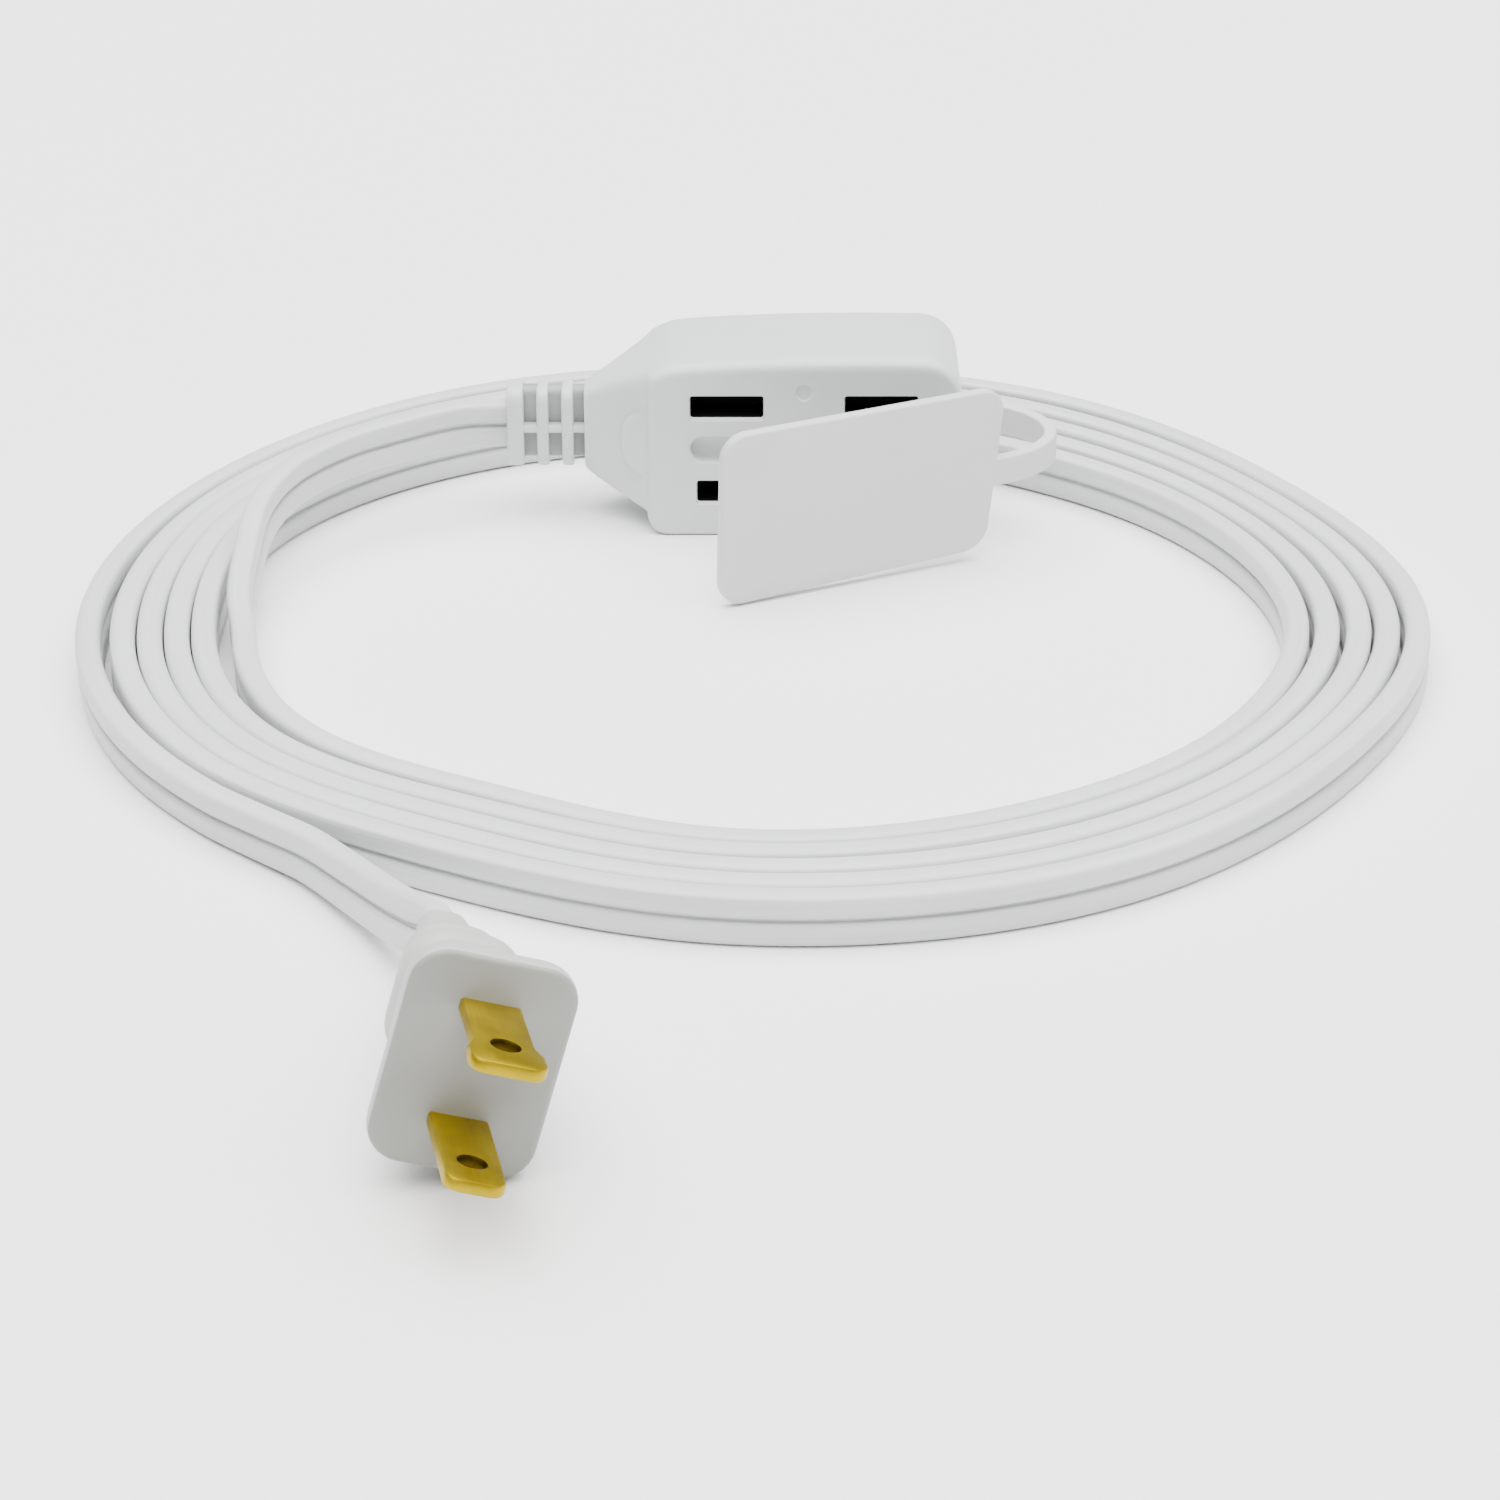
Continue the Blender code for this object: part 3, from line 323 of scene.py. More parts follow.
plug = {
    "face": (-0.0355, -0.1750, 0.01345), "yawDeg": 11.0, "pitchDeg": 8.0, "rollDeg": 18.0,
    # distance behind the face, half width, half height, corner radius
    "bodySections": (
        (0.0008, 0.0089, 0.0119, 0.0040), (0.0024, 0.0088, 0.0118, 0.0042), (0.0065, 0.0079, 0.0102, 0.0045),
        (0.0110, 0.0070, 0.0088, 0.0048), (0.0150, 0.0063, 0.0077, 0.0046)),
    "gripSections": (
        (0.0153, 0.0061, 0.0073, 0.0044), (0.0175, 0.0066, 0.0078, 0.0048), (0.0198, 0.0061, 0.0072, 0.0046),
        (0.0214, 0.0051, 0.0061, 0.0040), (0.0236, 0.0054, 0.0064, 0.0042), (0.0258, 0.0046, 0.0056, 0.0038),
        (0.0292, 0.0036, 0.0048, 0.0030), (0.0330, 0.0028, 0.0043, 0.0020)),
    "faceRound": 0.0008, "gap": 0.0003,
    "bladePitch": 0.0127, "bladeWidth": 0.00635, "bladeThick": 0.0015, "bladeLength": 0.0159,
    "wideTip": 0.0079, "holeRadius": 0.0015, "holeAt": 0.0110,
}


def plugMatrix():
    yaw, pitch, roll = (math.radians(plug[key]) for key in ("yawDeg", "pitchDeg", "rollDeg"))
    forward = Vector((math.sin(yaw) * math.cos(pitch), -math.cos(yaw) * math.cos(pitch), math.sin(pitch)))
    level = Vector((math.cos(yaw), math.sin(yaw), 0))
    upright = -forward.cross(level)
    if upright.z < 0:
        upright = -upright
    up = upright * math.cos(roll) + level * math.sin(roll)
    right = level * math.cos(roll) - upright * math.sin(roll)
    return Matrix.Translation(plug["face"]) @ Matrix((right, up, forward)).transposed().to_4x4()


def ringValue(values, angle):
    # a smooth closed curve through values at even steps
    place = (angle / (2 * math.pi) * len(values)) % len(values)
    i = int(place)
    s = place - i
    before, first, second, after = (values[(i + k) % len(values)] for k in (-1, 0, 1, 2))
    slopeA, slopeB = (second - before) / 2, (after - first) / 2
    return (first * (2 * s**3 - 3 * s**2 + 1) + slopeA * (s**3 - 2 * s**2 + s)
            + second * (3 * s**2 - 2 * s**3) + slopeB * (s**3 - s**2))


def openValue(values, place):
    # the same along an open list
    i = min(int(place), len(values) - 2)
    s = place - i
    before, first, second = values[max(i - 1, 0)], values[i], values[i + 1]
    after = values[min(i + 2, len(values) - 1)]
    slopeA, slopeB = (second - before) / 2, (after - first) / 2
    return (first * (2 * s**3 - 3 * s**2 + 1) + slopeA * (s**3 - 2 * s**2 + s)
            + second * (3 * s**2 - 2 * s**3) + slopeB * (s**3 - s**2))


def coilPoint(turns):
    angle = math.pi + 2 * math.pi * turns
    inner, outer = ringValue(cord["inner"], angle), ringValue(cord["outer"], angle)
    radius = inner + (outer - inner) * turns / cord["turns"] + openValue(cord["driftMm"], turns * 4) / 1000
    x, y = cord["centre"]
    return Vector((x + radius * math.cos(angle), y + radius * math.sin(angle), cord["lieZ"]))


def smoothRoute(points, step):
    # Hermite spans whose slopes follow the neighbours, read off at even steps
    dense = []
    for i in range(len(points) - 1):
        a, b = points[i], points[i + 1]
        chord = (b - a).length
        slopeA = (b - points[i - 1]).normalized() * chord if i else b - a
        slopeB = (points[i + 2] - a).normalized() * chord if i + 2 < len(points) else b - a
        for k in range(24):
            s = k / 24
            dense.append(a * (2 * s**3 - 3 * s**2 + 1) + slopeA * (s**3 - 2 * s**2 + s)
                         + b * (3 * s**2 - 2 * s**3) + slopeB * (s**3 - s**2))
    dense.append(points[-1])
    total = sum((b - a).length for a, b in zip(dense, dense[1:]))
    count = round(total / step)
    route, walked, i = [dense[0]], 0.0, 0
    for k in range(1, count):
        target = total * k / count
        while walked + (dense[i + 1] - dense[i]).length < target:
            walked += (dense[i + 1] - dense[i]).length
            i += 1
        span = (dense[i + 1] - dense[i]).length
        route.append(dense[i].lerp(dense[i + 1], (target - walked) / span))
    return [*route, dense[-1]], total


def cordRoute():
    pose = plugMatrix()
    entry = plug["gripSections"][-1][0] + plug["gap"]
    first, last = cord["startDeg"] / 360, cord["turns"] + cord["endDeg"] / 360
    points = [Vector(cord["tapStart"])] + [Vector(p) for p in cord["tapLead"]]
    steps = cord["coilSteps"]
    points += [coilPoint(first + (last - first) * k / steps) for k in range(steps + 1)]
    points += [Vector(p) for p in cord["plugLead"]]
    points += [pose @ Vector((0, 0, -entry - cord["entryRun"])), pose @ Vector((0, 0, -entry))]
    return smoothRoute(points, cord["routeStep"])


def flatCordTree():
    # a circle of points is bent to the two-lobed section, then swept along the cord's line
    tree = bpy.data.node_groups.new("flatCord", "GeometryNodeTree")
    face = tree.interface
    face.new_socket("Geometry", in_out="INPUT", socket_type="NodeSocketGeometry")
    for label in ("Half Width", "Half Thickness", "Web Share", "Web Width", "Roundness"):
        face.new_socket(label, in_out="INPUT", socket_type="NodeSocketFloat")
    face.new_socket("Points Around", in_out="INPUT", socket_type="NodeSocketInt")
    face.new_socket("Material", in_out="INPUT", socket_type="NodeSocketMaterial")
    face.new_socket("Geometry", in_out="OUTPUT", socket_type="NodeSocketGeometry")
    given = addNode(tree, "NodeGroupInput").outputs
    ring = addNode(tree, "GeometryNodeCurvePrimitiveCircle", None, {
        "Resolution": given["Points Around"], "Radius": 1.0})
    ringPlace = addNode(tree, "GeometryNodeInputPosition").outputs[0]
    at = addNode(tree, "ShaderNodeSeparateXYZ", None, {"Vector": ringPlace})
    # a quarter of the circle runs once over half a lobe: cosine along it, sine across it, both squared off
    squares = addNode(tree, "ShaderNodeMath", {"operation": "MULTIPLY"}, {
        0: at.outputs["Y"], 1: at.outputs["Y"]})
    alongLobe = addNode(tree, "ShaderNodeMath", {"operation": "MULTIPLY_ADD"}, {
        0: squares.outputs[0], 1: 2.0, 2: -1.0})
    product = addNode(tree, "ShaderNodeMath", {"operation": "MULTIPLY"}, {
        0: at.outputs["X"], 1: at.outputs["Y"]})
    doubled = addNode(tree, "ShaderNodeMath", {"operation": "MULTIPLY"}, {0: product.outputs[0], 1: 2.0})
    power = addNode(tree, "ShaderNodeMath", {"operation": "DIVIDE"}, {0: 2.0, 1: given["Roundness"]})
    farSize = addNode(tree, "ShaderNodeMath", {"operation": "ABSOLUTE"}, {0: alongLobe.outputs[0]})
    farPower = addNode(tree, "ShaderNodeMath", {"operation": "POWER"}, {
        0: farSize.outputs[0], 1: power.outputs[0]})
    farSign = addNode(tree, "ShaderNodeMath", {"operation": "SIGN"}, {0: alongLobe.outputs[0]})
    place = addNode(tree, "ShaderNodeMath", {"operation": "MULTIPLY"}, {
        0: farPower.outputs[0], 1: farSign.outputs[0]})
    lobe = addNode(tree, "ShaderNodeMath", {"operation": "MULTIPLY_ADD"}, {
        0: given["Web Width"], 1: -0.5, 2: 0.5})
    lobeMid = addNode(tree, "ShaderNodeMath", {"operation": "MULTIPLY_ADD"}, {
        0: given["Web Width"], 1: 0.5, 2: 0.5})
    reach = addNode(tree, "ShaderNodeMath", {"operation": "MULTIPLY_ADD"}, {
        0: place.outputs[0], 1: lobe.outputs[0], 2: lobeMid.outputs[0]})
    wideSize = addNode(tree, "ShaderNodeMath", {"operation": "ABSOLUTE"}, {0: doubled.outputs[0]})
    swell = addNode(tree, "ShaderNodeMath", {"operation": "POWER"}, {
        0: wideSize.outputs[0], 1: power.outputs[0]})
    nearWeb = addNode(tree, "ShaderNodeMath", {"operation": "LESS_THAN"}, {0: alongLobe.outputs[0], 1: 0.0})
    web = addNode(tree, "ShaderNodeMath", {"operation": "MULTIPLY"}, {
        0: nearWeb.outputs[0], 1: given["Web Share"]})
    half = addNode(tree, "ShaderNodeMath", {"operation": "MAXIMUM"}, {0: swell.outputs[0], 1: web.outputs[0]})
    sideSign = addNode(tree, "ShaderNodeMath", {"operation": "SIGN"}, {0: at.outputs["X"]})
    endSign = addNode(tree, "ShaderNodeMath", {"operation": "SIGN"}, {0: at.outputs["Y"]})
    thick = addNode(tree, "ShaderNodeMath", {"operation": "MULTIPLY"}, {
        0: half.outputs[0], 1: given["Half Thickness"]})
    wide = addNode(tree, "ShaderNodeMath", {"operation": "MULTIPLY"}, {
        0: reach.outputs[0], 1: given["Half Width"]})
    sectionX = addNode(tree, "ShaderNodeMath", {"operation": "MULTIPLY"}, {
        0: thick.outputs[0], 1: sideSign.outputs[0]})
    sectionY = addNode(tree, "ShaderNodeMath", {"operation": "MULTIPLY"}, {
        0: wide.outputs[0], 1: endSign.outputs[0]})
    section = addNode(tree, "ShaderNodeCombineXYZ", None, {
        "X": sectionX.outputs[0], "Y": sectionY.outputs[0]})
    profile = addNode(tree, "GeometryNodeSetPosition", None, {
        "Geometry": ring.outputs["Curve"], "Position": section.outputs["Vector"]})
    sectionPlace = addNode(tree, "GeometryNodeInputPosition").outputs[0]
    vectorStore = {"data_type": "FLOAT_VECTOR", "domain": "POINT"}
    marked = addNode(tree, "GeometryNodeStoreNamedAttribute", vectorStore, {
        "Geometry": profile.outputs["Geometry"], "Name": "acrossCord",
        "Value": sectionPlace})
    walked = addNode(tree, "GeometryNodeSplineParameter")
    line = addNode(tree, "GeometryNodeStoreNamedAttribute", {"data_type": "FLOAT", "domain": "POINT"}, {
        "Geometry": given["Geometry"], "Name": "alongCord", "Value": walked.outputs["Length"]})
    swept = addNode(tree, "GeometryNodeCurveToMesh", None, {
        "Curve": line.outputs["Geometry"], "Profile Curve": marked.outputs["Geometry"], "Fill Caps": True})
    real = addNode(tree, "GeometryNodeRealizeInstances", None, {"Geometry": swept.outputs["Mesh"]})
    dressed = addNode(tree, "GeometryNodeSetMaterial", None, {
        "Geometry": real.outputs["Geometry"], "Material": given["Material"]})
    addNode(tree, "NodeGroupOutput", None, {"Geometry": dressed.outputs["Geometry"]})
    return tree


def makeCord(material):
    route, length = cordRoute()
    curve = bpy.data.curves.new("cordLine", "CURVE")
    curve.dimensions = "3D"
    curve.twist_mode = "Z_UP"
    spline = curve.splines.new("POLY")
    spline.points.add(len(route) - 1)
    leadCount = round(cord["uprightLead"] / cord["routeStep"])
    for i, point in enumerate(route):
        spline.points[i].co = (*point, 1)
        share = max(0.0, 1 - (len(route) - 1 - i) / leadCount)
        wobble = 1.6 * math.sin(i * 0.021) + 1.2 * math.sin(i * 0.0083 + 1.0)
        ease = min(1.0, i / 60) * (1 - share)
        spline.points[i].tilt = math.radians(wobble * ease - plug["rollDeg"] * share**2 * (3 - 2 * share))
    holder = bpy.data.objects.new("cordLine", curve)
    bpy.context.scene.collection.objects.link(holder)
    tree = flatCordTree()
    modifier = holder.modifiers.new("flatCord", "NODES")
    modifier.node_group = tree
    settings = {"Half Width": cord["width"] / 2, "Half Thickness": cord["thickness"] / 2,
                "Web Share": cord["webShare"], "Web Width": cord["webWidth"], "Roundness": cord["roundness"],
                "Points Around": cord["pointsAround"], "Material": material}
    for item in tree.interface.items_tree:
        if item.in_out == "INPUT" and item.name in settings:
            modifier[item.identifier] = settings[item.name]
    bpy.context.view_layer.update()
    mesh = bpy.data.meshes.new_from_object(holder.evaluated_get(bpy.context.evaluated_depsgraph_get()))
    bpy.data.objects.remove(holder, do_unlink=True)
    mesh.name = "flatCord"
    mesh.shade_smooth()
    mesh.set_sharp_from_angle(angle=math.radians(50))
    piece = bpy.data.objects.new("flatCord", mesh)
    bpy.context.scene.collection.objects.link(piece)
    settle(piece, "tap", "cord_jacket", "cord_tap_lead", "cord_coil", "cord_plug_lead")
    print(f"cord: {length:.3f} m, {len(mesh.polygons)} faces")
    return piece, route, length


jacketPvc = extrudedJacket("extrudedPvcJacket", "#D3D4D4", "#B4B6B5")
vinylTap = mouldedVinyl("mouldedPvcTap", "#C8CACA", "#C1C3C3")
cordPiece, cordLine, cordLength = makeCord(jacketPvc)


tap = {
    "length": 0.0442, "depth": 0.0210, "height": 0.0260, "midZ": 0.0130,
    "crownX": 0.008, "crownPerM": 1.35, "crownRise": 0.0002,
    "farTopRadius": 0.0054, "farLowRadius": 0.0040, "nearRadius": 0.0030, "sideRound": 0.0012,
    "topRound": 0.0017, "lowRound": 0.0005,
    "neckLength": 0.00895, "neckHalfDepth": 0.0032, "neckHalfHeight": 0.0058,
    "padReach": 0.0041, "padHalfHeight": 0.0050, "padSlope": 0.34, "padRoot": 0.0093, "slopeStart": -0.0188,
    "outletPitch": 0.0216, "bladePitch": 0.0127, "neutralSlot": 0.0102, "hotSlot": 0.0084,
    "slotHeight": 0.0032,
    "slotChamfer": 0.00045, "recessLength": 0.0102, "recessHeight": 0.0038, "recessDepth": 0.0019,
    "slotDepth": 0.0045, "slotFlare": 0.00012, "slotCorner": 0.0004, "toolProud": 0.0006,
    "markZ": 0.0215, "markSteps": 40, "neckRound": 0.0014, "slopeEase": 0.004, "neckLowPower": 0.63,
    "neckDepthPower": 1.4,
}


def cornerInset(radius, fromEnd):
    if fromEnd >= radius:
        return 0.0
    return radius - math.sqrt(radius**2 - (radius - fromEnd) ** 2)


def tapSection(x):
    half = tap["length"] / 2
    crown = tap["crownRise"] - tap["crownPerM"] * (max(x, tap["slopeStart"]) - tap["crownX"]) ** 2
    top, low, depth = tap["height"] + crown, 0.0, tap["depth"] / 2
    # the top runs straight down the neck from a little way inside the block, eased where the slope starts
    endTop = tap["midZ"] + tap["neckHalfHeight"]
    startTop = tap["height"] + tap["crownRise"] - tap["crownPerM"] * (tap["slopeStart"] - tap["crownX"]) ** 2
    run = (tap["slopeStart"] - x) / (tap["slopeStart"] + half + tap["neckLength"])
    top -= (startTop - endTop) * (math.sqrt(run**2 + tap["slopeEase"]) + run) / 2
    if x >= -half:
        far, near = half - x, x + half
        top -= cornerInset(tap["farTopRadius"], far)
        low += cornerInset(tap["farLowRadius"], far) + cornerInset(tap["nearRadius"], near)
        depth -= cornerInset(tap["sideRound"], far) + cornerInset(tap["sideRound"], near)
    else:
        share = 1 - (-half - x) / tap["neckLength"]
        low += tap["nearRadius"]
        endLow = tap["midZ"] - tap["neckHalfHeight"]
        low = endLow + (low - endLow) * share ** tap["neckLowPower"]
        rootDepth = tap["depth"] / 2 - tap["sideRound"]
        spread = max(share, 0.0) ** tap["neckDepthPower"]
        depth = tap["neckHalfDepth"] + (rootDepth - tap["neckHalfDepth"]) * spread
    return depth, low, top


def tapStations():
    half = tap["length"] / 2
    far = [half - tap["farTopRadius"] * (1 - math.cos(math.radians(90 * k / 12))) for k in range(13)]
    middle = [far[-1] - (far[-1] + half - tap["nearRadius"]) * k / 16 for k in range(1, 16)]
    near = [-half + tap["nearRadius"] * (1 - math.sin(math.radians(90 * k / 10))) for k in range(11)]
    neck = [-half - tap["neckLength"] * (1 - math.cos(math.radians(90 * k / 14))) for k in range(1, 14)]
    # the neck closes with short steps where it rounds down to the relief
    ends = [-half - tap["neckLength"] * k for k in (0.90, 0.94, 0.97, 0.99, 1.0)]
    neck = [x for x in neck if x > ends[0] + 0.0002] + ends
    return far + middle + near + neck


def slotTool(name, x, z, length, side, materials):
    # the mouth's lower lip is cut back in a chamfer, and the walls and bottom behind it are painted
    # near-black as shade
    outer = side * tap["depth"] / 2
    lip, flare, proud = tap["slotChamfer"], tap["slotFlare"], tap["toolProud"]
    halfL, halfH = length / 2, tap["slotHeight"] / 2
    bm = bmesh.new()
    rings = []
    for depth, grow in ((-proud, 1.0 + proud / lip), (lip, 0.0), (tap["slotDepth"], 0.0)):
        loop = roundedLoop(halfL + flare * grow, z - halfH - lip * grow, z + halfH + flare * grow,
                           (tap["slotCorner"],) * 4, 4, 2)
        rings.append([(x + a, outer - side * depth, b) for a, b in loop])
    faces = loftInto(bm, rings)
    around = len(rings[0])
    # painted shade: the walls past the chamfer and the slot's bottom take the near-black material
    for face in [*faces[around:2 * around], faces[-1]]:
        face.material_index = 1
    return newObject(name, bm, materials)


def recessTool(name, x, materials):
    outer = -tap["depth"] / 2
    bm = bmesh.new()
    rings = []
    for depth, grow in ((-0.0006, 0.0009), (0.0, 0.00030), (0.00012, 0.0001), (0.0003, 0.0),
                        (tap["recessDepth"] - 0.0005, 0.0), (tap["recessDepth"] - 0.00015, -0.00018),
                        (tap["recessDepth"], -0.0005)):
        halfH = tap["recessHeight"] / 2 + grow
        loop = roundedLoop(tap["recessLength"] / 2 + grow, tap["midZ"] - halfH, tap["midZ"] + halfH,
                           (halfH * 0.98,) * 4, 9, 2)
        rings.append([(x + a, outer + depth, b) for a, b in loop])
    loftInto(bm, rings)
    return newObject(name, bm, materials)


def markTool(materials):
    # the shallow dish that an ejector pin leaves
    outer = -tap["depth"] / 2
    bm = bmesh.new()
    rings = []
    turns = [k * 2 * math.pi / tap["markSteps"] for k in range(tap["markSteps"])]
    for depth, radius in ((-tap["toolProud"], 0.0017), (0.0, 0.00128), (0.00012, 0.00112), (0.00024, 0.00104),
                          (0.00026, 0.0009)):
        rings.append([(radius * math.cos(turn), outer + depth, tap["markZ"] + radius * math.sin(turn))
                      for turn in turns])
    loftInto(bm, rings)
    return newObject("pinMark", bm, materials)


def padRings(side):
    # the raised half disc on the neck's flat, sloping back from the block
    root = -tap["length"] / 2 + 0.0006
    rings = []
    for scale, stand in ((1.06, -0.0040), (1.03, -0.0009), (1.0, -0.0003), (0.95, -0.00008), (0.88, 0.0)):
        ring = []
        for k in range(25):
            angle = math.radians(90 + 180 * k / 24)
            a = tap["padReach"] * scale * math.cos(angle)
            b = tap["padHalfHeight"] * scale * math.sin(angle)
            flat = tap["padRoot"] + tap["padSlope"] * a + stand
            ring.append((root + a - 0.0002, side * flat, tap["midZ"] + b))
        rings.append(ring)
    return rings


def makeTapShell(vinyl, shadow):
    bm = bmesh.new()
    rings = []
    for x in tapStations():
        depth, low, top = tapSection(x)
        share = min(1.0, max(0.0, (-tap["length"] / 2 - x) / tap["neckLength"]))
        topRound = tap["topRound"] + (tap["neckRound"] - tap["topRound"]) * share
        lowRound = tap["lowRound"] + (tap["neckRound"] - tap["lowRound"]) * share
        loop = roundedLoop(depth, low, top, (topRound, topRound, lowRound, lowRound), 7, 6)
        rings.append([(x, a, b) for a, b in loop])
    loftInto(bm, rings)
    shell = newObject("tapShellBlank", bm, [vinyl, shadow])
    for side in (-1, 1):
        pad = bmesh.new()
        loftInto(pad, padRings(side))
        carve(shell, newObject(f"neckPad{side}", pad, [vinyl, shadow]), "UNION")
    upper, lower = tap["midZ"] + tap["bladePitch"] / 2, tap["midZ"] - tap["bladePitch"] / 2
    outlets = [(-tap["outletPitch"] / 2, -1), (tap["outletPitch"] / 2, -1), (0.0, 1)]
    carve(shell, markTool([vinyl, shadow]))
    for i, (x, side) in enumerate(outlets):
        carve(shell, slotTool(f"neutralSlot{i}", x, upper, tap["neutralSlot"], side, [vinyl, shadow]))
        carve(shell, slotTool(f"hotSlot{i}", x, lower, tap["hotSlot"], side, [vinyl, shadow]))
        if side < 0:
            carve(shell, recessTool(f"coverRecess{i}", x, [vinyl, shadow]))
    shell = bakeModifiers(shell, "tapShell")
    return settle(shell, "tap", "white_vinyl", "tap_body")


relief = {
    "inner": -0.0308, "outer": -0.0421, "halfDepth": 0.0032, "halfHeight": 0.0058, "step": 0.0017,
    "collar": 0.0024, "rib": 0.0017, "web": 0.0012, "windows": 3, "round": 0.0020, "edge": 0.0004,
    "lowOpen": 0.0007,
}


def softSleeve(bm, xLow, xHigh, halfDepth, halfHeight, radius, edge, lowDrop=0.0, materialIndex=0):
    midZ = tap["midZ"]
    rings = []
    for x, inset in ((xLow, edge), (xLow + edge * 0.3, edge * 0.3), (xLow + edge, 0),
                     (xHigh - edge, 0), (xHigh - edge * 0.3, edge * 0.3), (xHigh, edge)):
        loop = roundedLoop(halfDepth - inset, midZ - halfHeight - lowDrop + inset, midZ + halfHeight - inset,
                           (radius,) * 4, 8, 3)
        rings.append([(x, a, b) for a, b in loop])
    loftInto(bm, rings, materialIndex)


def makeRelief(vinyl, coreShadePaint):
    # a thin core carries the collar, the ribs and the webs that leave two rows of windows on each side
    bm = bmesh.new()
    inner, outer = relief["inner"], relief["outer"]
    # the core is painted darker, as shade inside the windows
    softSleeve(bm, outer + 0.0004, inner, relief["halfDepth"] - relief["step"], relief["halfHeight"] - 0.0001,
               0.0013, 0.0001, -relief["lowOpen"], 1)
    softSleeve(bm, outer, outer + relief["collar"], relief["halfDepth"], relief["halfHeight"],
               relief["round"], relief["edge"], 0.0002)
    window = (inner - outer - relief["collar"] - relief["rib"] * (relief["windows"] - 1)) / relief["windows"]
    for i in range(relief["windows"] - 1):
        x = outer + relief["collar"] + window + i * (window + relief["rib"])
        softSleeve(bm, x, x + relief["rib"], relief["halfDepth"], relief["halfHeight"], relief["round"],
                   relief["edge"], 0.0002)
    softSleeve(bm, outer + 0.0006, inner, relief["halfDepth"] - 0.0002, relief["web"] / 2, 0.0005, 0.0001)
    piece = newObject("reliefSleeve", bm, [vinyl, coreShadePaint], 40)
    return settle(piece, "tap", "white_vinyl", "tap_strain_relief")


cover = {
    "hinge": (0.03645, -0.0035), "restDeg": 25.0, "length": 0.0423, "height": 0.0240, "thick": 0.0018,
    "lift": 0.0008, "corner": 0.0036, "edge": 0.00045, "bossLength": 0.0084, "bossHeight": 0.0030,
    "bossDepth": 0.0015, "gap": 0.0003,
    # how far the soft plate's corners are pulled along and up, in mm: from top left, clockwise
    "pullMm": ((1.0, 0.1), (1.5, 0.3), (-1.1, 0.8), (0.4, -0.7)),
}


def coverPoint(x, y, z):
    # from the shut position to rest: the corners' pull first, then the turn about the hinge
    hinge = Vector((*cover["hinge"], 0))
    right = (x / cover["length"] + 0.5)
    up = (z - cover["lift"]) / cover["height"]
    shares = ((1 - right) * up, right * up, right * (1 - up), (1 - right) * (1 - up))
    x += sum(share * pull[0] for share, pull in zip(shares, cover["pullMm"])) / 1000
    z += sum(share * pull[1] for share, pull in zip(shares, cover["pullMm"])) / 1000
    return Matrix.Rotation(math.radians(cover["restDeg"]), 3, "Z") @ (Vector((x, y, z)) - hinge) + hinge


def makeCover(plastic):
    bm = bmesh.new()
    inside = -tap["depth"] / 2 - cover["gap"]
    mid = cover["lift"] + cover["height"] / 2
    edge = cover["edge"]
    rings = []
    for k in range(10):
        # half circles round both rims
        angle = math.radians(90 * (k % 5) / 4)
        if k < 5:
            y, inset = edge * (1 - math.cos(angle)), edge * (1 - math.sin(angle))
        else:
            y, inset = cover["thick"] - edge * (1 - math.sin(angle)), edge * (1 - math.cos(angle))
        loop = roundedLoop(cover["length"] / 2 - inset, mid - cover["height"] / 2 + inset,
                           mid + cover["height"] / 2 - inset, (cover["corner"] - inset,) * 4, 12, 8)
        rings.append([coverPoint(a, inside - y, b) for a, b in loop])
    loftInto(bm, rings)
    for x in (-tap["outletPitch"] / 2, tap["outletPitch"] / 2):
        boss = []
        deep = cover["bossDepth"]
        for y, inset in ((-0.0006, 0.0), (deep - 0.0004, 0.0), (deep - 0.0001, 0.00012), (deep, 0.0004)):
            halfH = cover["bossHeight"] / 2 - inset
            loop = roundedLoop(cover["bossLength"] / 2 - inset, mid - halfH, mid + halfH,
                               (halfH * 0.98,) * 4, 8, 3)
            boss.append([coverPoint(x + a, inside + y, b) for a, b in loop])
        loftInto(bm, boss)
    piece = newObject("outletCover", bm, [plastic], 40)
    return settle(piece, "cover", "cover_plastic", "cover_plate")


strap = {"height": 0.0041, "thick": 0.0018, "reach": 0.01345, "edge": 0.0004, "climb": 0.0012}


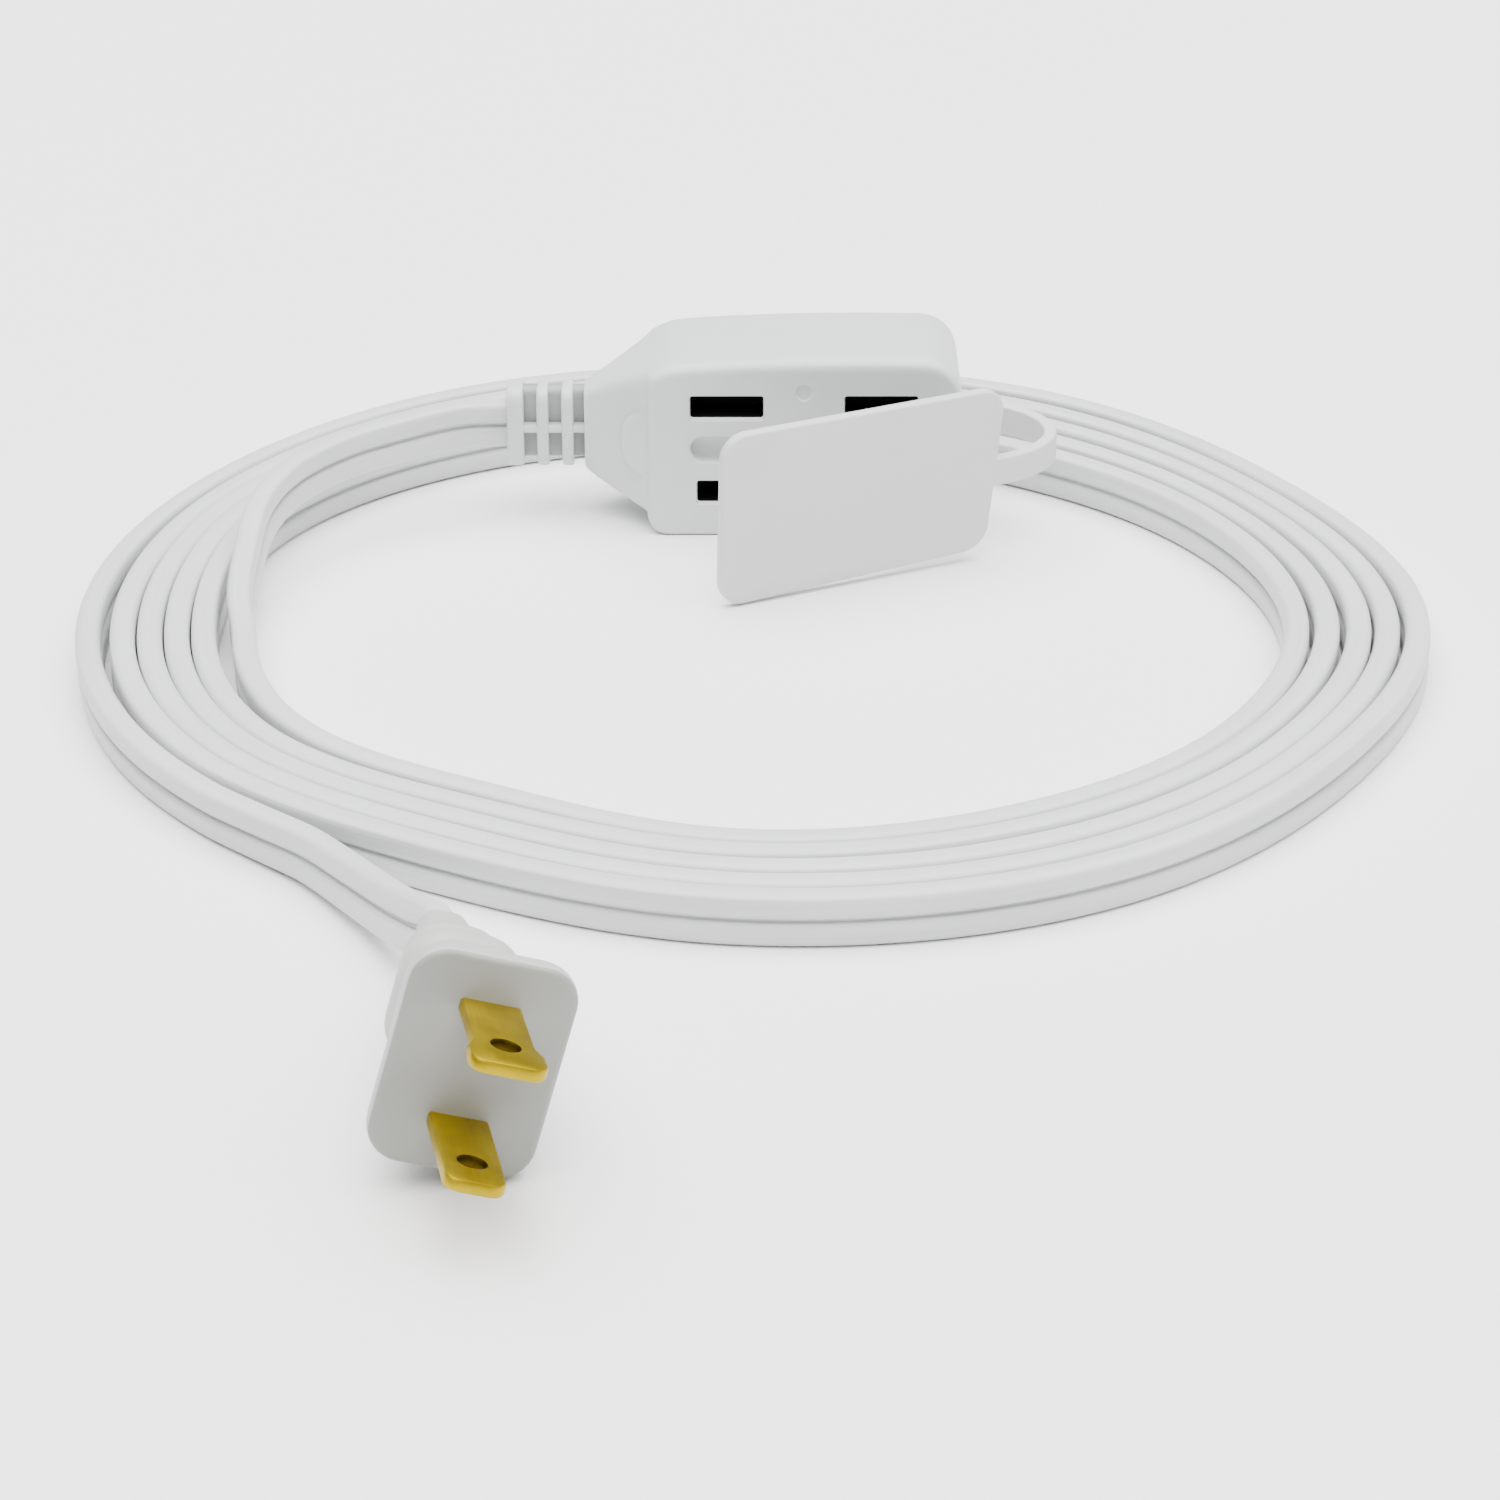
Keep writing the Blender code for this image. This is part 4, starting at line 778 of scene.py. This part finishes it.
def makeStrap(plastic):
    turn = math.radians(cover["restDeg"])
    hinge = Vector(cover["hinge"])
    near = Vector((cover["length"] / 2, -tap["depth"] / 2 - cover["gap"] - cover["thick"] / 2)) - hinge
    near.rotate(Matrix.Rotation(turn, 2))
    near += hinge
    along = Vector((math.cos(turn), math.sin(turn)))
    tapEnd = Vector((tap["length"] / 2 + cover["gap"], 0.0005))
    apexX = tap["length"] / 2 + strap["reach"] - strap["thick"] / 2
    midY = (near.y + tapEnd.y) / 2
    points = [near - along * 0.0006, near + along * 0.0038, Vector((apexX - 0.0016, midY - 0.0042)),
              Vector((apexX, midY)), Vector((apexX - 0.0018, midY + 0.0048)),
              tapEnd + Vector((0.0048, -0.0002)), tapEnd]
    route, _ = smoothRoute([Vector((p.x, p.y, 0)) for p in points], 0.0005)
    mid = cover["lift"] + cover["height"] / 2
    bm = bmesh.new()
    rings = []
    for i, point in enumerate(route):
        share = i / (len(route) - 1)
        point = point + Vector((0, 0, strap["climb"] * share**2 * (3 - 2 * share)))
        tangent = route[min(i + 1, len(route) - 1)] - route[max(i - 1, 0)]
        side = Vector((-tangent.y, tangent.x, 0)).normalized()
        loop = roundedLoop(strap["thick"] / 2, mid - strap["height"] / 2, mid + strap["height"] / 2,
                           (strap["edge"],) * 4, 5, 2)
        rings.append([point + side * a + Vector((0, 0, b)) for a, b in loop])
    loftInto(bm, rings)
    piece = newObject("coverStrap", bm, [plastic], 40)
    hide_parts("cover_strap")
    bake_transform(piece)
    return piece


# real black phenolic for the carriers and bridge, and painted shade inside the tap's slots
phenolicAndSlotShade = darkPhenolic("phenolicInsertAndSlotShade")
coverPvc = mouldedVinyl("mouldedPvcCover", "#CDCDCD", "#C5C5C5", roughness=0.5)
makeTapShell(vinylTap, phenolicAndSlotShade)
# the core behind the relief's windows is painted darker, as shade in the windows, like the plug's face
makeRelief(vinylTap, mouldedVinyl("paintedShadePvcReliefCore", "#909292", "#868888"))
makeCover(coverPvc)
makeStrap(coverPvc)
print("tap, relief, cover and strap made")


def smoothSections(sections, steps=6):
    # more sections in between, on a smooth curve through each size
    rows = []
    for place in range((len(sections) - 1) * steps + 1):
        at = place / steps
        at = min(at, len(sections) - 1.0001)
        rows.append([openValue([row[k] for row in sections], at) for k in range(4)])
    return rows


def sectionRings(rows, pose, perCorner=9, perSide=4):
    rings = []
    for behind, halfWidth, halfHeight, corner in rows:
        loop = roundedLoop(halfWidth, -halfHeight, halfHeight, (corner,) * 4, perCorner, perSide)
        rings.append([pose @ Vector((a, b, -behind)) for a, b in loop])
    return rings


def makePlugBody(vinyl, faceShadePaint):
    pose = plugMatrix()
    rows = smoothSections(plug["bodySections"])
    depth, halfWidth, halfHeight, corner = rows[0]
    rounding = plug["faceRound"]
    face = []
    for k in range(6):
        angle = math.radians(90 * k / 6)
        inset = rounding * (1 - math.sin(angle))
        behind = depth - rounding * math.cos(angle)
        face.append([behind, halfWidth - inset, halfHeight - inset, corner - inset])
    bm = bmesh.new()
    rings = sectionRings(face + rows, pose)
    faces = loftInto(bm, rings)
    # the face and its rounded rim take the darker vinyl, as painted shade
    for part in [faces[-2], *faces[:4 * len(rings[0])]]:
        part.material_index = 1
    body = newObject("plugShell", bm, [vinyl, faceShadePaint])
    return settle(body, "tap", "white_vinyl", "plug_body")


def makePlugGrip(vinyl):
    pose = plugMatrix()
    bm = bmesh.new()
    loftInto(bm, sectionRings(smoothSections(plug["gripSections"], 8), pose))
    piece = newObject("plugGrip", bm, [vinyl], 50)
    return settle(piece, "tap", "white_vinyl", "plug_strain_relief")


def bladeOutline(tipWidth, inset):
    half, tip, length = plug["bladeWidth"] / 2 - inset, tipWidth / 2 - inset, plug["bladeLength"] - inset
    flare = plug["bladeLength"] - 0.0046
    edge = [(half, -0.0026), (half, flare - 0.0016)]
    if tip > half + 0.0001:
        for k in range(1, 6):
            s = k / 5
            edge.append((half + (tip - half) * s**1.5, flare - 0.0016 + 0.0024 * s))
    radius = 0.0017
    for k in range(8):
        angle = math.radians(90 * k / 7)
        edge.append((tip - radius + radius * math.cos(angle), length - radius + radius * math.sin(angle)))
    return edge + [(-a, b) for a, b in reversed(edge)]


def makeBlade(name, y, tipWidth, brass, wallShade, node):
    pose = plugMatrix()
    thick, edge = plug["bladeThick"] / 2, 0.00032
    bm = bmesh.new()
    rings = []
    for lift, inset in ((-thick, edge), (-thick + edge * 0.3, edge * 0.3), (-thick + edge, 0),
                        (thick - edge, 0), (thick - edge * 0.3, edge * 0.3), (thick, edge)):
        rings.append([pose @ Vector((a, y + lift, b)) for a, b in bladeOutline(tipWidth, inset)])
    loftInto(bm, rings)
    blank = newObject(name + "Blank", bm, [brass, wallShade])
    tool = bmesh.new()
    rings = []
    for lift, grow in ((-0.0012, 0.0005), (-thick - 0.0001, 0.00018), (-thick + 0.0002, 0),
                       (thick - 0.0002, 0), (thick + 0.0001, 0.00018), (0.0012, 0.0005)):
        radius = plug["holeRadius"] + grow
        turns = [k * math.pi / 16 for k in range(32)]
        circle = [(radius * math.cos(turn), radius * math.sin(turn)) for turn in turns]
        rings.append([pose @ Vector((a, y + lift, plug["holeAt"] + b)) for a, b in circle])
    # painted shade: the tool's faces give the hole's walls the near-black brass
    loftInto(tool, rings, 1)
    carve(blank, newObject(name + "Hole", tool, [brass, wallShade]))
    piece = bakeModifiers(blank, name)
    return settle(piece, "tap", "plain_brass", node)


turned = tuple(plugMatrix().to_euler())
bladeBrass = rolledBrass("rolledBrassBlade", turned, "#B59C08", "#7A6702")
# near-black brass painted on the holes' walls as shade
holeShadeBrass = rolledBrass("paintedShadeBrassHole", turned, "#4A3A08", "#2C2204")
# the plug's white vinyl is painted darker than the tap's, as shade over the whole plug
shadedPlugVinyl = mouldedVinyl("paintedShadePvcPlug", "#B2B3B1", "#A8A9A6", roughness=0.5)
# one moulding with the sides, drawn a shade darker because the light fills the face more than in the photo
plugFaceShadePaint = mouldedVinyl("paintedShadePvcPlugFace", "#8C8D89", "#81827D", roughness=0.42)
plugShell = makePlugBody(shadedPlugVinyl, plugFaceShadePaint)
plugGrip = makePlugGrip(shadedPlugVinyl)
neutralBlade = makeBlade("neutralBlade", plug["bladePitch"] / 2, plug["wideTip"], bladeBrass, holeShadeBrass,
                         "plug_neutral_blade")
hotBlade = makeBlade("hotBlade", -plug["bladePitch"] / 2, plug["bladeWidth"], bladeBrass, holeShadeBrass,
                     "plug_hot_blade")
print("plug and blades made")


# the pieces inside keep their own shape and get a finish
stripBrass = rolledBrass("rolledBrassStrip", (0, math.radians(90), 0), "#D0B350", "#A78A2C")
wirePvc = mouldedVinyl("extrudedWirePvc", "#DDDEDF", "#D2D3D4", roughness=0.4)
copper = twistedCopper("bunchedCopper")
finishes = {
    "tap_front_carrier": phenolicAndSlotShade, "tap_rear_carrier": phenolicAndSlotShade, "plug_bridge": phenolicAndSlotShade,
    "tap_neutral_bus": stripBrass, "tap_hot_bus": stripBrass,
    "tap_neutral_wire": wirePvc, "tap_hot_wire": wirePvc,
    "plug_neutral_wire": wirePvc, "plug_hot_wire": wirePvc,
    "tap_neutral_strands": copper, "tap_hot_strands": copper,
    "plug_neutral_strands": copper, "plug_hot_strands": copper,
}
for node, material in finishes.items():
    nodes[node].data.materials.clear()
    nodes[node].data.materials.append(material)


studio = {
    "floorHalf": 3.0, "floorZ": -0.0001, "skyHigh": 9.5, "skyLow": 0.15, "skyFrom": 0.6, "skyTo": 0.95,
    "sideSize": 0.9, "sidePower": 7.0, "sidePlace": (1.1, -0.35, 0.9),
}


def makeStudio():
    bm = bmesh.new()
    half = studio["floorHalf"]
    corners = ((-1, -1), (1, -1), (1, 1), (-1, 1))
    bm.faces.new([bm.verts.new((a * half, b * half, studio["floorZ"])) for a, b in corners])
    newObject("studioPaper", bm, [paperFloor("matPaper")])
    world = bpy.data.worlds.new("softSky")
    bpy.context.scene.world = world
    world.use_nodes = True
    sky = world.node_tree
    # like one wide softbox overhead: bright above, dim towards the walls
    direction = addNode(sky, "ShaderNodeTexCoord").outputs["Generated"]
    look = addNode(sky, "ShaderNodeSeparateXYZ", None, {"Vector": direction})
    rise = addNode(sky, "ShaderNodeMapRange", {"interpolation_type": "SMOOTHSTEP"}, {
        "Value": look.outputs["Z"], "From Min": studio["skyFrom"], "From Max": studio["skyTo"],
        "To Min": studio["skyLow"], "To Max": studio["skyHigh"]})
    backdrop = sky.nodes["Background"]
    backdrop.inputs["Color"].default_value = (1.0, 1.0, 1.0, 1.0)
    sky.links.new(rise.outputs["Result"], backdrop.inputs["Strength"])
    light = bpy.data.lights.new("sideSoftbox", "AREA")
    light.shape, light.size, light.energy = "SQUARE", studio["sideSize"], studio["sidePower"]
    lamp = bpy.data.objects.new("sideSoftbox", light)
    lamp.location = studio["sidePlace"]
    lamp.rotation_euler = Vector(studio["sidePlace"]).to_track_quat("Z", "Y").to_euler()
    bpy.context.scene.collection.objects.link(lamp)


makeStudio()
print("studio set")
